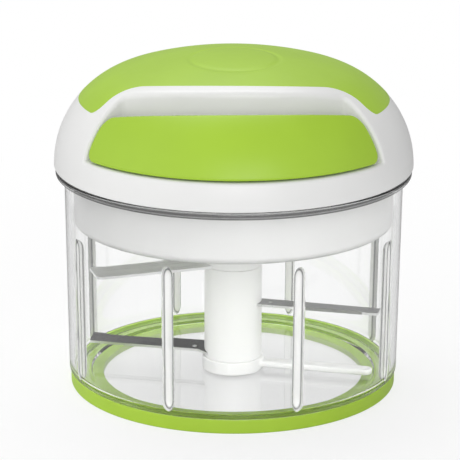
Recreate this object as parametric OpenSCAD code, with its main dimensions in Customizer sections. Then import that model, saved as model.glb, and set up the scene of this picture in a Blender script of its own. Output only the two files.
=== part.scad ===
// Pull cord food chopper
// A clear bowl on a green foot ring holds a blade column that turns on a steel pin.
// The domed lid carries a cord spool with its recoil spring, and a pull handle in a front pocket.
// Millimetres, +Z up. The origin lies on the table under the middle of the bowl. The handle faces -Y.

/* [Bowl] */
// Height of the rim's top above the table
bowl_h = 87.8; // [84:0.1:100]
// Outer radius of the wall just under the rim
bowl_top_r = 66.1; // [63:0.1:70]
// How much narrower the wall is at its foot
bowl_taper = 1.1; // [0:0.1:2]
// Wall thickness
bowl_wall = 2; // [1.7:0.1:2.5]
// Floor thickness
bowl_floor = 2; // [1.6:0.1:3]
// Inner corner radius between floor and wall
bowl_corner_r = 4.5; // [3.5:0.1:5]
// Outer corner radius above the foot ring
bowl_foot_r = 1.6; // [1:0.1:1.9]
// How far the rim stands out from the wall
rim_lip = 3.4; // [1.6:0.1:4]
// Height of the rim
rim_h = 2.7; // [2:0.1:5]
// Number of upright ribs inside the wall
rib_count = 8; // [4:2:12]
// Width of a rib
rib_w = 4; // [3.6:0.1:5]
// Skin of wall left outside a rib
rib_skin = 0.4; // [0.3:0.1:1]
// Height of a rib's lower end above the floor
rib_lift = 2.8; // [2:0.1:15]
// Gap between a rib's top and the plug's underside
rib_top_gap = 1.8; // [1:0.1:10]

/* [Foot ring] */
// Height of the ring's outer face
ring_h = 5.4; // [4.8:0.1:6.5]
// Thickness of the pad under the bowl's floor
ring_pad = 2.3; // [1.8:0.1:3]
// Width of the lip round the bowl's foot
ring_lip = 1.4; // [1:0.1:1.7]
// Setback of the ring's outer face from the bowl's wall
ring_setback = 0.6; // [0.2:0.1:1]
// Width of the ring's underside
ring_w = 12.9; // [8:0.1:24]
// Chamfer of the ring's lower edge
ring_edge = 0.4; // [0.2:0.1:1]

/* [Lid shell] */
// How far the dome stands out past the bowl's rim
dome_overhang = 0.5; // [0.4:0.1:3]
// Gap between the dome's edge and the bowl's rim
dome_gap = 0.3; // [0.1:0.05:0.8]
// Height of the upright skirt under the dome's shoulder
dome_skirt = 0.9; // [0.8:0.1:3]
// Chamfer of the dome's lower edge
dome_edge = 0.7; // [0.3:0.1:0.8]
// Radius of the dome's shoulder in side view
shoulder_r = 38.6; // [36:0.1:42]
// Radius of the dome's crown in side view
crown_r = 147.7; // [130:0.1:180]
// Wall thickness of the dome
dome_wall = 3; // [2.7:0.1:3.5]

/* [Lid plug] */
// Depth of the plug below the bowl's rim
plug_depth = 22; // [19:0.1:26]
// Clearance between the plug and the bowl's wall
plug_gap = 1.6; // [1.2:0.1:2.2]
// Wall thickness of the plug
plug_wall = 2; // [1.6:0.1:2.6]
// Floor thickness of the plug
plug_floor = 2.2; // [1.8:0.1:3]
// Radius of the plug's lower edge
plug_edge_r = 2.9; // [2:0.1:4]
// Chamfer inside the plug, between its floor and its wall
plug_chamfer = 1; // [0.5:0.1:1.5]
// Thickness of the flange that rests on the bowl's rim
flange_h = 2.5; // [2:0.1:3.5]
// Width of the dome's step that sits on the flange
flange_step = 0.6; // [0.4:0.1:1]

/* [Top grip] */
// Distance of the grip's outer edge from the dome's widest part, seen from above
grip_inset = 9.6; // [7:0.1:13]
// Thickness of the grip
grip_t = 1.5; // [1:0.1:1.8]
// Width of the white frame between the pocket and the grip, seen from above
frame_w = 5.2; // [4:0.1:7]
// Corner radius of that frame
frame_corner_r = 8; // [5:0.1:10]

/* [Handle pocket] */
// Height of the pocket's floor above the dome's edge
pocket_lift = 10.9; // [9:0.1:12.5]
// Depth of the pocket's back wall behind the dome's front
pocket_depth = 28.5; // [27:0.1:30.5]
// Radius of the back wall's sweep seen from above
pocket_sweep_r = 80; // [75:1:90]
// Distance of the pocket's back corners from the dome's widest part
pocket_side = 28.5; // [27:0.1:32]
// Angle of the side walls to the X axis, seen from above
pocket_flare = 32.4; // [29:0.2:36]
// Corner radius at the back of the pocket
pocket_corner_r = 1.2; // [1:0.1:4]
// Wall thickness of the pocket
pocket_wall = 2.2; // [1.8:0.1:2.6]

/* [Pull handle] */
// Gap between the handle's ends and the pocket's side walls
handle_gap = 1.5; // [0.6:0.1:2]
// How far the handle lies to the left in its pocket
handle_shift = 0.8; // [0:0.1:1]
// Gap under the handle
handle_lift = 0.6; // [0.3:0.1:1]
// Depth of the handle in its middle, from the dome's front
handle_depth = 17.5; // [15:0.1:19]
// Radius of the handle back's sweep seen from above
handle_sweep_r = 71.7; // [68:0.1:76]
// Corner radius at the back of the handle's ends
handle_corner_r = 4; // [2:0.1:5]
// Wall thickness of the handle's shell
handle_wall = 2.6; // [2:0.1:3]
// Thickness of the plate that closes the handle's back
plate_t = 2; // [1.5:0.1:2.4]
// Width of each stop behind the handle
stop_w = 6; // [4:0.5:10]
// Depth of each stop behind the handle
stop_depth = 2.5; // [2:0.1:4]
// Height of each stop above the pocket's floor
stop_h = 5; // [3:0.1:6]
// Distance of the stops from the middle
stop_x = 29; // [22:0.5:31]

/* [Cord drive] */
// Height of the cord above the dome's edge
cord_h = 22.7; // [22:0.1:24]
// Diameter of the cord
cord_d = 1.8; // [1.4:0.1:2.2]
// Gap between the spool's flanges and the dome's posts
spool_post_gap = 4; // [2.6:0.1:5]
// Height of the drum between its flanges
drum_h = 7.5; // [6:0.1:8]
// How far the spool's flanges stand out from the drum
spool_lip = 4.4; // [3:0.1:5]
// Thickness of the spool's flanges
spool_flange_t = 1.5; // [1.2:0.1:2]
// Wall thickness of the drum
drum_wall = 2.4; // [2:0.1:3]
// Radius of the spool's journal in the bearing plate
journal_r = 7; // [6.5:0.1:8]
// Length of that journal
journal_h = 4.5; // [4.1:0.1:5]
// Thickness of the spool's floor under the spring
well_floor = 2; // [1.9:0.1:2.4]
// Thickness of that floor between the screw's head and the drive shaft
clamp_floor = 1.6; // [1.3:0.1:1.8]
// Thickness of the bearing plate
spool_plate_t = 2.8; // [2:0.1:3.2]
// Gap between the bearing plate and the pocket's wall
spool_plate_gap = 5.3; // [3:0.1:6]
// Distance of the dome's posts from the bearing plate's edge
post_inset = 5; // [4.6:0.1:6]
// Radius of a post
post_r = 4; // [3.4:0.1:4.2]
// Number of posts and screws
post_count = 3; // [3:1:3]
// Radius of the arbor that holds the spring
arbor_r = 4; // [3.6:0.1:4.6]
// Length of the arbor inside its socket in the dome
arbor_grip = 4; // [3:0.1:5]
// Wall thickness of that socket
arbor_socket_wall = 3; // [2:0.1:4]
// Gap between that socket and the spool
arbor_socket_gap = 1; // [0.6:0.1:1.5]
// Gap between the arbor's end and the spool's screw
arbor_gap = 0.7; // [0.4:0.1:1.2]
// Height of the spring's strip
spring_h = 6; // [4:0.1:6.5]
// Thickness of the spring's strip
spring_t = 0.4; // [0.3:0.05:0.6]
// Number of turns of the spring
spring_turns = 5; // [3:1:7]
// Width of the hexagon drive across its flats
hex_af = 9; // [8:0.1:9.4]
// Depth of the hexagon in the column's socket
hex_depth = 14; // [10:0.1:14.5]
// Radius of the round part of the drive shaft
drive_r = 5.5; // [5.45:0.05:6]

/* [Fasteners and bearings] */
// Radius of a screw's thread
screw_r = 1.4; // [1.2:0.05:1.6]
// Radius of a screw's head
screw_head_r = 3; // [2.6:0.1:3.3]
// Height of a screw's head
screw_head_h = 1.8; // [1.4:0.1:2.2]
// Length of a screw's thread
screw_len = 10; // [8:0.5:12]
// Wall thickness of the plain bearings
bush_wall = 2; // [1.4:0.1:2.4]
// Height of the bearing in the plug's floor
drive_bush_h = 8; // [6:0.1:12]
// Width of that bearing's flange
drive_bush_lip = 3; // [2:0.1:5]
// Thickness of that bearing's flange
drive_bush_flange_t = 1.5; // [1:0.1:2.5]
// Bore radius of the cord's eyelet
eyelet_bore_r = 1.4; // [1.25:0.05:1.6]
// Wall thickness of the eyelet
eyelet_wall = 1.6; // [1:0.1:2]
// Thickness of the eyelet's flange
eyelet_flange_t = 1.2; // [0.8:0.1:1.8]
// Width of the eyelet's flange
eyelet_lip = 1.5; // [1:0.1:2.5]
// How far the eyelet stands into the dome
eyelet_stand = 0.6; // [0.4:0.1:1]
// Gap between the eyelet's mouth and the cord's bend
cord_bend_gap = 0.4; // [0.2:0.1:0.8]
// Radius of the ferrule on the cord's end
ferrule_r = 2; // [1.6:0.1:2.2]
// Length of that ferrule
ferrule_len = 2.2; // [1.5:0.1:2.4]
// Gap round the cord in the handle's plate
cord_hole_gap = 0.4; // [0.3:0.1:0.6]

/* [Blade column] */
// Radius of the column's tube
shaft_r = 11.35; // [10.5:0.05:12]
// Wall thickness of the tube
shaft_wall = 2.2; // [1.8:0.1:2.6]
// Height of the seam under the drive socket, above the bowl's floor
seam_h = 43.2; // [41:0.1:43.9]
// Gap between the column's top and the plug
column_gap = 0.5; // [0.3:0.1:1]
// Gap between the collar and the bowl's floor
collar_lift = 0.15; // [0.1:0.05:0.4]
// Height of the collar
collar_h = 5.25; // [4.9:0.05:6]
// How far the collar stands out from the tube
collar_lip = 0.7; // [0.3:0.1:1.5]
// Height of the spigots that join the column's pieces
spigot_h = 2; // [1.4:0.1:2]
// Radius of the pivot pin
pin_r = 2.5; // [2:0.1:3]
// Height of the pivot pin above the bowl's floor
pin_h = 19; // [16:0.5:22]
// Height of the boss that holds the pin
boss_h = 2.5; // [2:0.1:3]
// Wall thickness of that boss
boss_wall = 2; // [1.6:0.1:2.4]
// Thickness of the bowl's floor left under the pin
pin_floor = 0.5; // [0.4:0.1:1]
// Gap between the scraper arm's end and the bowl's ribs
arm_gap = 4.4; // [3:0.1:10]
// Width of the scraper arm
arm_w = 5.6; // [4:0.1:7]
// Height of the scraper arm
arm_h = 2.5; // [2:0.1:3]
// Height of the arm's underside above the collar's
arm_lift = 1.5; // [0.5:0.1:2]
// Direction of the scraper arm
arm_angle = 346.5; // [340:0.5:355]

/* [Blades] */
// Thickness of a blade
blade_t = 1; // [0.8:0.1:1.2]
// Distance of a blade's inner end from the axis
blade_root_r = 6; // [5.6:0.1:7]
// Radius of the hole near the root of the middle and lower blades
blade_hole_r = 0.9; // [0.7:0.1:1.4]
// Distance of that hole from the axis
blade_hole_at = 15.1; // [14:0.1:18]
// Distance of the hole from each blade's middle line, upper to lower
blade_hole_side = [0, 0, 2.2];
// Gap between each blade's tip and the bowl's ribs
blade_gap = [4, 2, 2.2];
// Height of each blade above the bowl's floor
blade_height = [44, 27.9, 8.2];
// Direction of each blade
blade_angle = [200.8, 345.2, 169];
// How far each blade leaves the column before it changes width
blade_neck = [1, 1, 1];
// Distance of each blade's front edge from its middle line, at its root
blade_root_front = [1, 3.8, 3.2];
// Distance of each blade's back edge from its middle line, at its root
blade_root_back = [4.1, 3.8, 4.5];
// Distance of each blade's front edge from its middle line, at its tip
blade_tip_front = [8.4, 2.8, 3.4];
// Distance of each blade's back edge from its middle line, at its tip
blade_tip_back = [3.2, 3.8, 3.7];
// Cut corner of each blade's tip
blade_corner = [1.6, 1.2, 0.6];
// Distance of the upper blade's heel from the axis
heel_at = 22; // [18:0.5:28]
// Distance of the upper blade's front edge from its middle line, at the heel
heel_front = 8; // [6:0.1:9]

/* [Clearances] */
// Radial clearance of a running fit
run_gap = 0.05; // [0.03:0.01:0.08]
// Clearance of a pressed or glued joint
press_gap = 0.02; // [0.01:0.01:0.04]
// Clearance of the plate inside the handle
plate_gap = 0.1; // [0.05:0.05:0.2]
// Clearance on each flat of the hexagon drive
hex_gap = 0.15; // [0.1:0.05:0.25]
// Gap between pieces that move past each other
seat_gap = 0.3; // [0.2:0.05:0.5]
// Gap between the spool and its bearing plate
spool_gap = 0.5; // [0.3:0.1:0.8]
// Gap under the end of the hexagon and of the spool's screw
end_gap = 0.5; // [0.3:0.1:1]

/* [Hidden] */
$fn = 96;
white = [0.95, 0.95, 0.94];
green = [0.66, 0.82, 0.24];
clear = [0.85, 0.88, 0.88, 0.35];
steel = [0.7, 0.71, 0.72];
grey = [0.6, 0.61, 0.62];
brass = [0.78, 0.65, 0.35];

// Bowl and foot ring
floor_z = ring_pad + bowl_floor;
bowl_low_r = bowl_top_r - bowl_taper;
rim_r = bowl_top_r + rim_lip;
rim_z = bowl_h - rim_h;
ring_r = bowl_low_r - ring_setback;
step_r = ring_r - ring_lip;
ring_inner_r = ring_r - ring_w;
pin_z = ring_pad + pin_floor;
rib_r = rib_w / 2;
rib_in_r = bowl_low_r - rib_skin - rib_w;
rib_low_z = floor_z + rib_lift + rib_r;

// Lid plug
plug_z = bowl_h - plug_depth;
plug_r = bowl_top_r - bowl_wall - plug_gap;
rib_high_z = plug_z - rib_top_gap - rib_r;

// Dome: a shoulder arc that runs tangent into a crown arc centred on the axis
dome_r = rim_r + dome_overhang;
dome_z = bowl_h + dome_gap;
shoulder_x = dome_r - shoulder_r;
shoulder_z = dome_z + dome_skirt;
crown_z = shoulder_z - sqrt(pow(crown_r - shoulder_r, 2) - pow(shoulder_x, 2));
tangent_a = atan2(shoulder_z - crown_z, shoulder_x);
dome_top = crown_z + crown_r;
flange_r = dome_r - dome_wall + flange_step;
flange_top = bowl_h + flange_h;
grip_r = dome_r - grip_inset;
// Reach of cutting solids that pass right through, and overlap of those that stop just past a face
far = 2 * dome_r;
cut = 1;

// Handle pocket, seen from above: a swept back wall and two flared side walls
pocket_z = dome_z + pocket_lift;
pocket_back = dome_r - pocket_depth;
pocket_half_w = dome_r - pocket_side;
pocket_c = pocket_sweep_r - pocket_back;
side_pt = [pocket_half_w, pocket_c - sqrt(pow(pocket_sweep_r, 2) - pow(pocket_half_w, 2))];
side_dir = [cos(pocket_flare), -sin(pocket_flare)];
side_out = [sin(pocket_flare), cos(pocket_flare)];

// Pull handle
handle_z = pocket_z + handle_lift;
handle_back = dome_r - handle_depth;
handle_c = handle_sweep_r - handle_back;

// Spool, from its top flange down to its journal
spool_plate_r = pocket_back - pocket_wall - spool_plate_gap;
post_ring_r = spool_plate_r - post_inset;
spool_r = post_ring_r - post_r - spool_post_gap;
drum_r = spool_r - spool_lip;
cord_r = cord_d / 2;
cord_z = dome_z + cord_h;
wind_r = drum_r + cord_r + run_gap;
drum_top = cord_z + cord_r + seat_gap;
drum_z = drum_top - drum_h;
spool_top = drum_top + spool_flange_t;
spool_z = drum_z - spool_flange_t;
spool_well_z = spool_z + well_floor;
well_r = drum_r - drum_wall;
journal_z = spool_z - journal_h;
spool_plate_top = spool_z - spool_gap;
spool_plate_z = spool_plate_top - spool_plate_t;
drive_top = spool_well_z - clamp_floor;
arbor_z = spool_well_z + screw_head_h + arbor_gap;
arbor_socket_z = spool_top + arbor_socket_gap;
arbor_len = arbor_socket_z + arbor_grip - arbor_z;
spring_z = spool_well_z + seat_gap;
spring_in_r = arbor_r + seat_gap;
spring_out_r = well_r - seat_gap;

// Eyelet and cord route: off the drum on a tangent, round the eyelet's mouth, straight to the handle
eyelet_r = eyelet_bore_r + eyelet_wall;
eyelet_in_y = pocket_wall - pocket_back + eyelet_stand;
cord_bend = [0, eyelet_in_y + cord_r + cord_bend_gap];
cord_leave_a = -90 - acos(wind_r / norm(cord_bend));
cord_leave = wind_r * [cos(cord_leave_a), sin(cord_leave_a)];
cord_sides = 8;
ferrule_y = -(handle_back + plate_t + seat_gap);

// Blade column
collar_z = floor_z + collar_lift;
collar_r = shaft_r + collar_lip;
arm_reach = rib_in_r - arm_gap;
tube_z = collar_z + collar_h;
tube_in_r = shaft_r - shaft_wall;
seam_z = floor_z + seam_h;
column_top = plug_z - column_gap;
socket_z = column_top - hex_depth - end_gap;
boss_r = pin_r + boss_wall;
bush_r = pin_r + run_gap + bush_wall;
bush_z = floor_z + boss_h + seat_gap;
hex_r = hex_af / 2 / cos(30);
drive_bush_r = drive_r + run_gap + bush_wall;

// Points along an arc
function arc(c, r, a0, a1, n) = [for (i = [0:n])
    let (a = a0 + (a1 - a0) * i / n)
    c + r * [cos(a), sin(a)]];

// Outer radius of the bowl's wall at a height
function bowl_r_at(z) = bowl_low_r + bowl_taper * (z - ring_h) / (rim_z - ring_h);

// Centre of the round corner between a swept back wall and the right side wall
function corner_at(sweep_r, c, shift, corner) =
    let (start = side_pt + (shift - corner) * side_out)
    let (w = start - [0, c])
    let (along = -w * side_dir + sqrt(pow(w * side_dir, 2) - w * w + pow(sweep_r + corner, 2)))
    start + along * side_dir;

// Right half of an outline that is open to the front, from the middle of its back wall
function half_outline(sweep_r, c, shift, corner) =
    let (q = corner_at(sweep_r, c, shift, corner))
    let (a = atan2(q.y - c, q.x))
    concat(
        arc([0, c], sweep_r, -90, a, 10),
        arc(q, corner, a + 180, 90 - pocket_flare, 4),
        [q + corner * side_out + far * side_dir, [far, -far]]);

function mirrored(points) = [for (i = [len(points) - 1:-1:1]) [-points[i].x, points[i].y]];

// Upright prism of such an outline, from a height to above the dome
module front_prism(sweep_r, c, shift, corner, z) {
    right = half_outline(sweep_r, c, shift, corner);
    translate([0, 0, z])
        linear_extrude(far)
            polygon(concat(right, mirrored(right)));
}

// Pocket of the handle, grown by an amount on all its walls
module pocket(grow) {
    front_prism(pocket_sweep_r - grow, pocket_c, grow, pocket_corner_r + grow, pocket_z - grow);
}

// Solid under the dome's outline, set in by an amount
module dome_solid(inset, low_z) {
    outline = concat(
        [[0, low_z], [dome_r - inset, low_z]],
        arc([shoulder_x, shoulder_z], shoulder_r - inset, 0, tangent_a, 12),
        arc([0, crown_z], crown_r - inset, tangent_a, 90, 5));
    rotate_extrude()
        polygon(outline);
}

module dome_outside() {
    difference() {
        dome_solid(0, dome_z);
        rotate_extrude()
            polygon([
                [dome_r - dome_edge, dome_z],
                [dome_r + cut, dome_z],
                [dome_r + cut, dome_z + dome_edge + cut]]);
    }
}

// Upright column that stands behind everything the grip covers
module grip_plan(grow) {
    difference() {
        translate([0, 0, pocket_z])
            cylinder(r = grip_r + grow, h = far);
        front_prism(
            pocket_sweep_r - frame_w + grow, pocket_c, frame_w - grow, frame_corner_r, pocket_z - cut);
    }
}

module on_posts() {
    for (i = [0:post_count - 1])
        rotate([0, 0, 90 + i * 360 / post_count])
            translate([post_ring_r, 0, 0])
                children();
}

module hexagon(af, h) {
    rotate([0, 0, 30])
        cylinder(r = af / 2 / cos(30), h = h, $fn = 6);
}

module tube(r_out, r_in, h) {
    difference() {
        cylinder(r = r_out, h = h);
        translate([0, 0, -cut])
            cylinder(r = r_in, h = h + 2 * cut);
    }
}

// Ring of points round the cord where it passes a point of its route
function cord_ring(p, heading) = [for (i = [0:cord_sides - 1])
    let (a = 360 * i / cord_sides)
    [p.x - sin(heading) * cord_r * cos(a), p.y + cos(heading) * cord_r * cos(a), cord_z + cord_r * sin(a)]];

// Triangles between two rings
function cord_band(k) = [for (i = [0:cord_sides - 1])
    let (a = k * cord_sides + i)
    let (b = k * cord_sides + (i + 1) % cord_sides)
    each [[a, a + cord_sides, b + cord_sides], [a, b + cord_sides, b]]];

// Front edge of a blade seen from above, from the column to the tip, with the tip along +X
function blade_front(i, reach) =
    let (edge = -blade_tip_front[i])
    i == 0 ? [[heel_at, -heel_front], [reach, edge]] :
    i == 1 ? [[reach - blade_corner[i], edge], [reach, edge + blade_corner[i]]] :
    [[reach, edge]];

// Back edge of a blade at its tip
function blade_back(i, reach) =
    let (edge = blade_tip_back[i])
    i == 1 ? [[reach, edge]] : [[reach, edge - blade_corner[i]], [reach - blade_corner[i], edge]];

// Outline of a blade seen from above, root at the axis and tip along +X
function blade_outline(i) =
    let (reach = rib_in_r - blade_gap[i])
    let (neck = shaft_r + blade_neck[i])
    let (low = -blade_root_front[i])
    let (high = blade_root_back[i])
    concat(
        [[blade_root_r, low], [neck, low]],
        blade_front(i, reach),
        blade_back(i, reach),
        [[neck, high], [blade_root_r, high]]);

module blade_at(i) {
    translate([0, 0, floor_z + blade_height[i]])
        rotate([0, 0, blade_angle[i]])
            children();
}

module blade(i) {
    blade_at(i)
        difference() {
            linear_extrude(blade_t, center = true)
                polygon(blade_outline(i));
            if (i > 0)
                translate([blade_hole_at, blade_hole_side[i], -blade_t])
                    cylinder(r = blade_hole_r, h = 2 * blade_t, $fn = 32);
        }
}

// Slot that a blade's root is pressed into
module blade_slot(i) {
    low = blade_root_front[i] + press_gap;
    high = blade_root_back[i] + press_gap;
    blade_at(i)
        translate([blade_root_r - press_gap, -low, -blade_t / 2 - press_gap])
            cube([shaft_r, low + high, blade_t + 2 * press_gap]);
}

module rib() {
    low = [bowl_r_at(rib_low_z) - rib_skin - rib_r, rib_low_z];
    high = [bowl_r_at(rib_high_z) - rib_skin - rib_r, rib_high_z];
    step = high - low;
    translate([low.x, 0, low.y])
        rotate([0, atan2(step.x, step.y), 0]) {
            cylinder(r = rib_r, h = norm(step), $fn = 32);
            sphere(r = rib_r, $fn = 32);
            translate([0, 0, norm(step)])
                sphere(r = rib_r, $fn = 32);
        }
}

module bowl_shell() {
    corner_c = [bowl_r_at(floor_z + bowl_corner_r) - bowl_wall - bowl_corner_r, floor_z + bowl_corner_r];
    foot_c = [bowl_r_at(ring_h + bowl_foot_r) - bowl_foot_r, ring_h + bowl_foot_r];
    outline = concat(
        [[0, ring_pad], [step_r - press_gap, ring_pad], [step_r - press_gap, ring_h]],
        arc(foot_c, bowl_foot_r, -90, 0, 4),
        [[bowl_top_r, rim_z], [rim_r, rim_z], [rim_r, bowl_h], [bowl_top_r - bowl_wall, bowl_h]],
        arc(corner_c, bowl_corner_r, 0, -90, 6),
        [[0, floor_z]]);
    rotate_extrude()
        polygon(outline);
}

module bowl() {
    color(clear)
        difference() {
            union() {
                bowl_shell();
                for (i = [0:rib_count - 1])
                    rotate([0, 0, (i + 0.5) * 360 / rib_count])
                        rib();
                translate([0, 0, pin_z])
                    cylinder(r = boss_r, h = floor_z + boss_h - pin_z);
            }
            translate([0, 0, pin_z])
                cylinder(r = pin_r + press_gap, h = far);
        }
}

module base_ring() {
    color(green)
        rotate_extrude()
            polygon([
                [ring_inner_r, 0],
                [ring_r - ring_edge, 0],
                [ring_r, ring_edge],
                [ring_r, ring_h],
                [step_r, ring_h],
                [step_r, ring_pad],
                [ring_inner_r, ring_pad]]);
}

module pivot_pin() {
    tip_h = pin_r / 2;
    color(steel) {
        translate([0, 0, pin_z])
            cylinder(r = pin_r, h = floor_z + pin_h - tip_h - pin_z);
        translate([0, 0, floor_z + pin_h - tip_h])
            cylinder(r1 = pin_r, r2 = pin_r / 2, h = tip_h);
    }
}

module base_collar() {
    color(white)
        difference() {
            union() {
                translate([0, 0, collar_z])
                    cylinder(r = collar_r, h = collar_h);
                translate([0, 0, tube_z - cut])
                    cylinder(r = tube_in_r - press_gap, h = spigot_h + cut);
                rotate([0, 0, arm_angle])
                    translate([0, 0, collar_z + arm_lift]) {
                        translate([shaft_r - cut, -arm_w / 2, 0])
                            cube([arm_reach - arm_w / 2 - shaft_r + cut, arm_w, arm_h]);
                        translate([arm_reach - arm_w / 2, 0, 0])
                            cylinder(r = arm_w / 2, h = arm_h);
                    }
            }
            translate([0, 0, collar_z - cut])
                cylinder(r = bush_r + press_gap, h = far);
            translate([0, 0, collar_z - cut])
                cylinder(r = boss_r + seat_gap, h = bush_z - collar_z + cut);
        }
}

module shaft_bush() {
    color(brass)
        translate([0, 0, bush_z])
            tube(bush_r, pin_r + run_gap, floor_z + pin_h - pin_r - bush_z);
}

module blade_shaft() {
    color(white)
        difference() {
            translate([0, 0, tube_z])
                tube(shaft_r, tube_in_r, seam_z - tube_z);
            blade_slot(1);
            blade_slot(2);
        }
}

module drive_socket() {
    color(white)
        difference() {
            union() {
                translate([0, 0, seam_z])
                    cylinder(r = shaft_r, h = column_top - seam_z);
                translate([0, 0, seam_z - spigot_h])
                    cylinder(r = tube_in_r - press_gap, h = spigot_h + cut);
            }
            translate([0, 0, socket_z])
                hexagon(hex_af + 2 * hex_gap, far);
            blade_slot(0);
        }
}

module upper_blade() {
    color(steel)
        blade(0);
}

module middle_blade() {
    color(steel)
        blade(1);
}

module lower_blade() {
    color(steel)
        blade(2);
}

module lid_base() {
    hole_r = drive_bush_r + press_gap;
    in_r = plug_r - plug_wall;
    in_z = plug_z + plug_floor;
    outline = concat(
        [[hole_r, plug_z]],
        arc([plug_r - plug_edge_r, plug_z + plug_edge_r], plug_edge_r, -90, 0, 5),
        [
            [plug_r, bowl_h],
            [flange_r - press_gap, bowl_h],
            [flange_r - press_gap, flange_top],
            [in_r, flange_top],
            [in_r, in_z + plug_chamfer],
            [in_r - plug_chamfer, in_z],
            [hole_r, in_z]]);
    color(white)
        rotate_extrude()
            polygon(outline);
}

// Hollow of the dome, around the pocket's walls, the posts and the arbor's socket
module dome_hollow() {
    difference() {
        dome_solid(dome_wall, flange_top - cut);
        pocket(pocket_wall);
        on_posts()
            translate([0, 0, spool_plate_top])
                cylinder(r = post_r, h = far);
        translate([0, 0, arbor_socket_z])
            cylinder(r = arbor_r + arbor_socket_wall, h = far);
    }
}

// Stops on the pocket's floor that the handle comes home against
module handle_stops() {
    for (side = [-1, 1])
        intersection() {
            translate([-handle_shift, handle_c, pocket_z - cut])
                tube(handle_sweep_r - seat_gap, handle_sweep_r - seat_gap - stop_depth, stop_h + cut);
            translate([side * stop_x - stop_w / 2, -far, pocket_z - cut])
                cube([stop_w, far, stop_h + cut]);
        }
}

module dome_cover() {
    color(white) {
        difference() {
            dome_outside();
            pocket(0);
            dome_hollow();
            translate([0, 0, dome_z - cut])
                cylinder(r = flange_r, h = flange_top - dome_z + cut);
            on_posts()
                translate([0, 0, spool_plate_z])
                    cylinder(r = screw_r + press_gap, h = screw_len + end_gap, $fn = 32);
            translate([0, 0, arbor_socket_z - cut])
                cylinder(r = arbor_r + press_gap, h = arbor_grip + press_gap + cut);
            translate([0, 0, cord_z])
                rotate([90, 0, 0])
                    cylinder(r = eyelet_r + press_gap, h = dome_r);
            difference() {
                grip_plan(0);
                dome_solid(grip_t, dome_z);
            }
        }
        handle_stops();
    }
}

module top_grip() {
    color(green)
        difference() {
            intersection() {
                dome_solid(0, dome_z);
                grip_plan(-press_gap);
            }
            dome_solid(grip_t - press_gap, dome_z - cut);
        }
}

module cord_guide() {
    color(steel)
        translate([0, eyelet_in_y, cord_z])
            rotate([90, 0, 0])
                difference() {
                    union() {
                        cylinder(r = eyelet_r, h = pocket_back + eyelet_in_y + eyelet_flange_t);
                        translate([0, 0, pocket_back + eyelet_in_y])
                            cylinder(r = eyelet_r + eyelet_lip, h = eyelet_flange_t);
                    }
                    translate([0, 0, -cut])
                        cylinder(r = eyelet_bore_r, h = far);
                }
}

module drive_bush() {
    color(grey)
        difference() {
            union() {
                translate([0, 0, plug_z])
                    cylinder(r = drive_bush_r, h = drive_bush_h);
                translate([0, 0, plug_z + plug_floor])
                    cylinder(r = drive_bush_r + drive_bush_lip, h = drive_bush_flange_t);
            }
            translate([0, 0, plug_z - cut])
                cylinder(r = drive_r + run_gap, h = far);
        }
}

module spool_plate() {
    color(grey)
        difference() {
            translate([0, 0, spool_plate_z])
                cylinder(r = spool_plate_r, h = spool_plate_t);
            translate([0, 0, spool_plate_z - cut])
                cylinder(r = journal_r + run_gap, h = far);
            on_posts()
                translate([0, 0, spool_plate_z - cut])
                    cylinder(r = screw_r + seat_gap, h = far, $fn = 32);
        }
}

// A screw with its head's seat at the origin and its thread along +Z
module screw(len) {
    cross_r = 0.6 * screw_head_r;
    cross_w = 0.2 * screw_head_r;
    cross_h = screw_head_h / 2;
    translate([0, 0, -screw_head_h])
        difference() {
            cylinder(r = screw_head_r, h = screw_head_h, $fn = 32);
            for (a = [0, 90])
                rotate([0, 0, a])
                    translate([-cross_r, -cross_w / 2, -cut])
                        cube([2 * cross_r, cross_w, cross_h + cut]);
        }
    cylinder(r = screw_r, h = len, $fn = 32);
}

module plate_screws() {
    color(steel)
        on_posts()
            translate([0, 0, spool_plate_z])
                screw(screw_len);
}

module spring_arbor() {
    color(grey)
        translate([0, 0, arbor_z])
            difference() {
                cylinder(r = arbor_r, h = arbor_len);
                translate([-far, -spring_t, -cut])
                    cube([far, 2 * spring_t, spring_z + spring_h - arbor_z + cut]);
            }
}

// Flat spiral strip, wound outwards from the arbor to the drum
module recoil_spring() {
    steps = 20 * spring_turns;
    pitch = (spring_out_r - spring_t - spring_in_r) / steps;
    inner = [for (i = [0:steps]) (spring_in_r + pitch * i) * [cos(18 * i), sin(18 * i)]];
    outer = [for (i = [steps:-1:0]) (spring_in_r + spring_t + pitch * i) * [cos(18 * i), sin(18 * i)]];
    color(steel)
        translate([0, 0, spring_z])
            linear_extrude(spring_h)
                polygon(concat(inner, outer));
}

module cord_spool() {
    color(grey)
        difference() {
            union() {
                translate([0, 0, spool_z])
                    cylinder(r = drum_r, h = spool_top - spool_z);
                for (z = [spool_z, drum_top])
                    translate([0, 0, z])
                        cylinder(r = spool_r, h = spool_flange_t);
                translate([0, 0, journal_z])
                    cylinder(r = journal_r, h = journal_h + cut);
            }
            translate([0, 0, spool_well_z])
                cylinder(r = well_r, h = far);
            translate([0, 0, journal_z - cut])
                hexagon(hex_af + 2 * press_gap, drive_top + press_gap - journal_z + cut);
            translate([0, 0, journal_z])
                cylinder(r = screw_r + seat_gap, h = far, $fn = 32);
        }
}

module cord_winding() {
    low_z = drum_z + press_gap;
    color(white)
        translate([0, 0, low_z])
            tube(wind_r + cord_r, drum_r + press_gap, cord_z - cord_r - seat_gap - low_z);
}

module drive_shaft() {
    low_z = column_top - hex_depth;
    round_z = column_top + seat_gap;
    color(grey)
        difference() {
            union() {
                translate([0, 0, low_z])
                    hexagon(hex_af, drive_top - low_z);
                translate([0, 0, round_z])
                    cylinder(r = drive_r, h = journal_z - seat_gap - round_z);
            }
            translate([0, 0, spool_well_z - screw_len - end_gap])
                cylinder(r = screw_r + press_gap, h = far, $fn = 32);
        }
}

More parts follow.
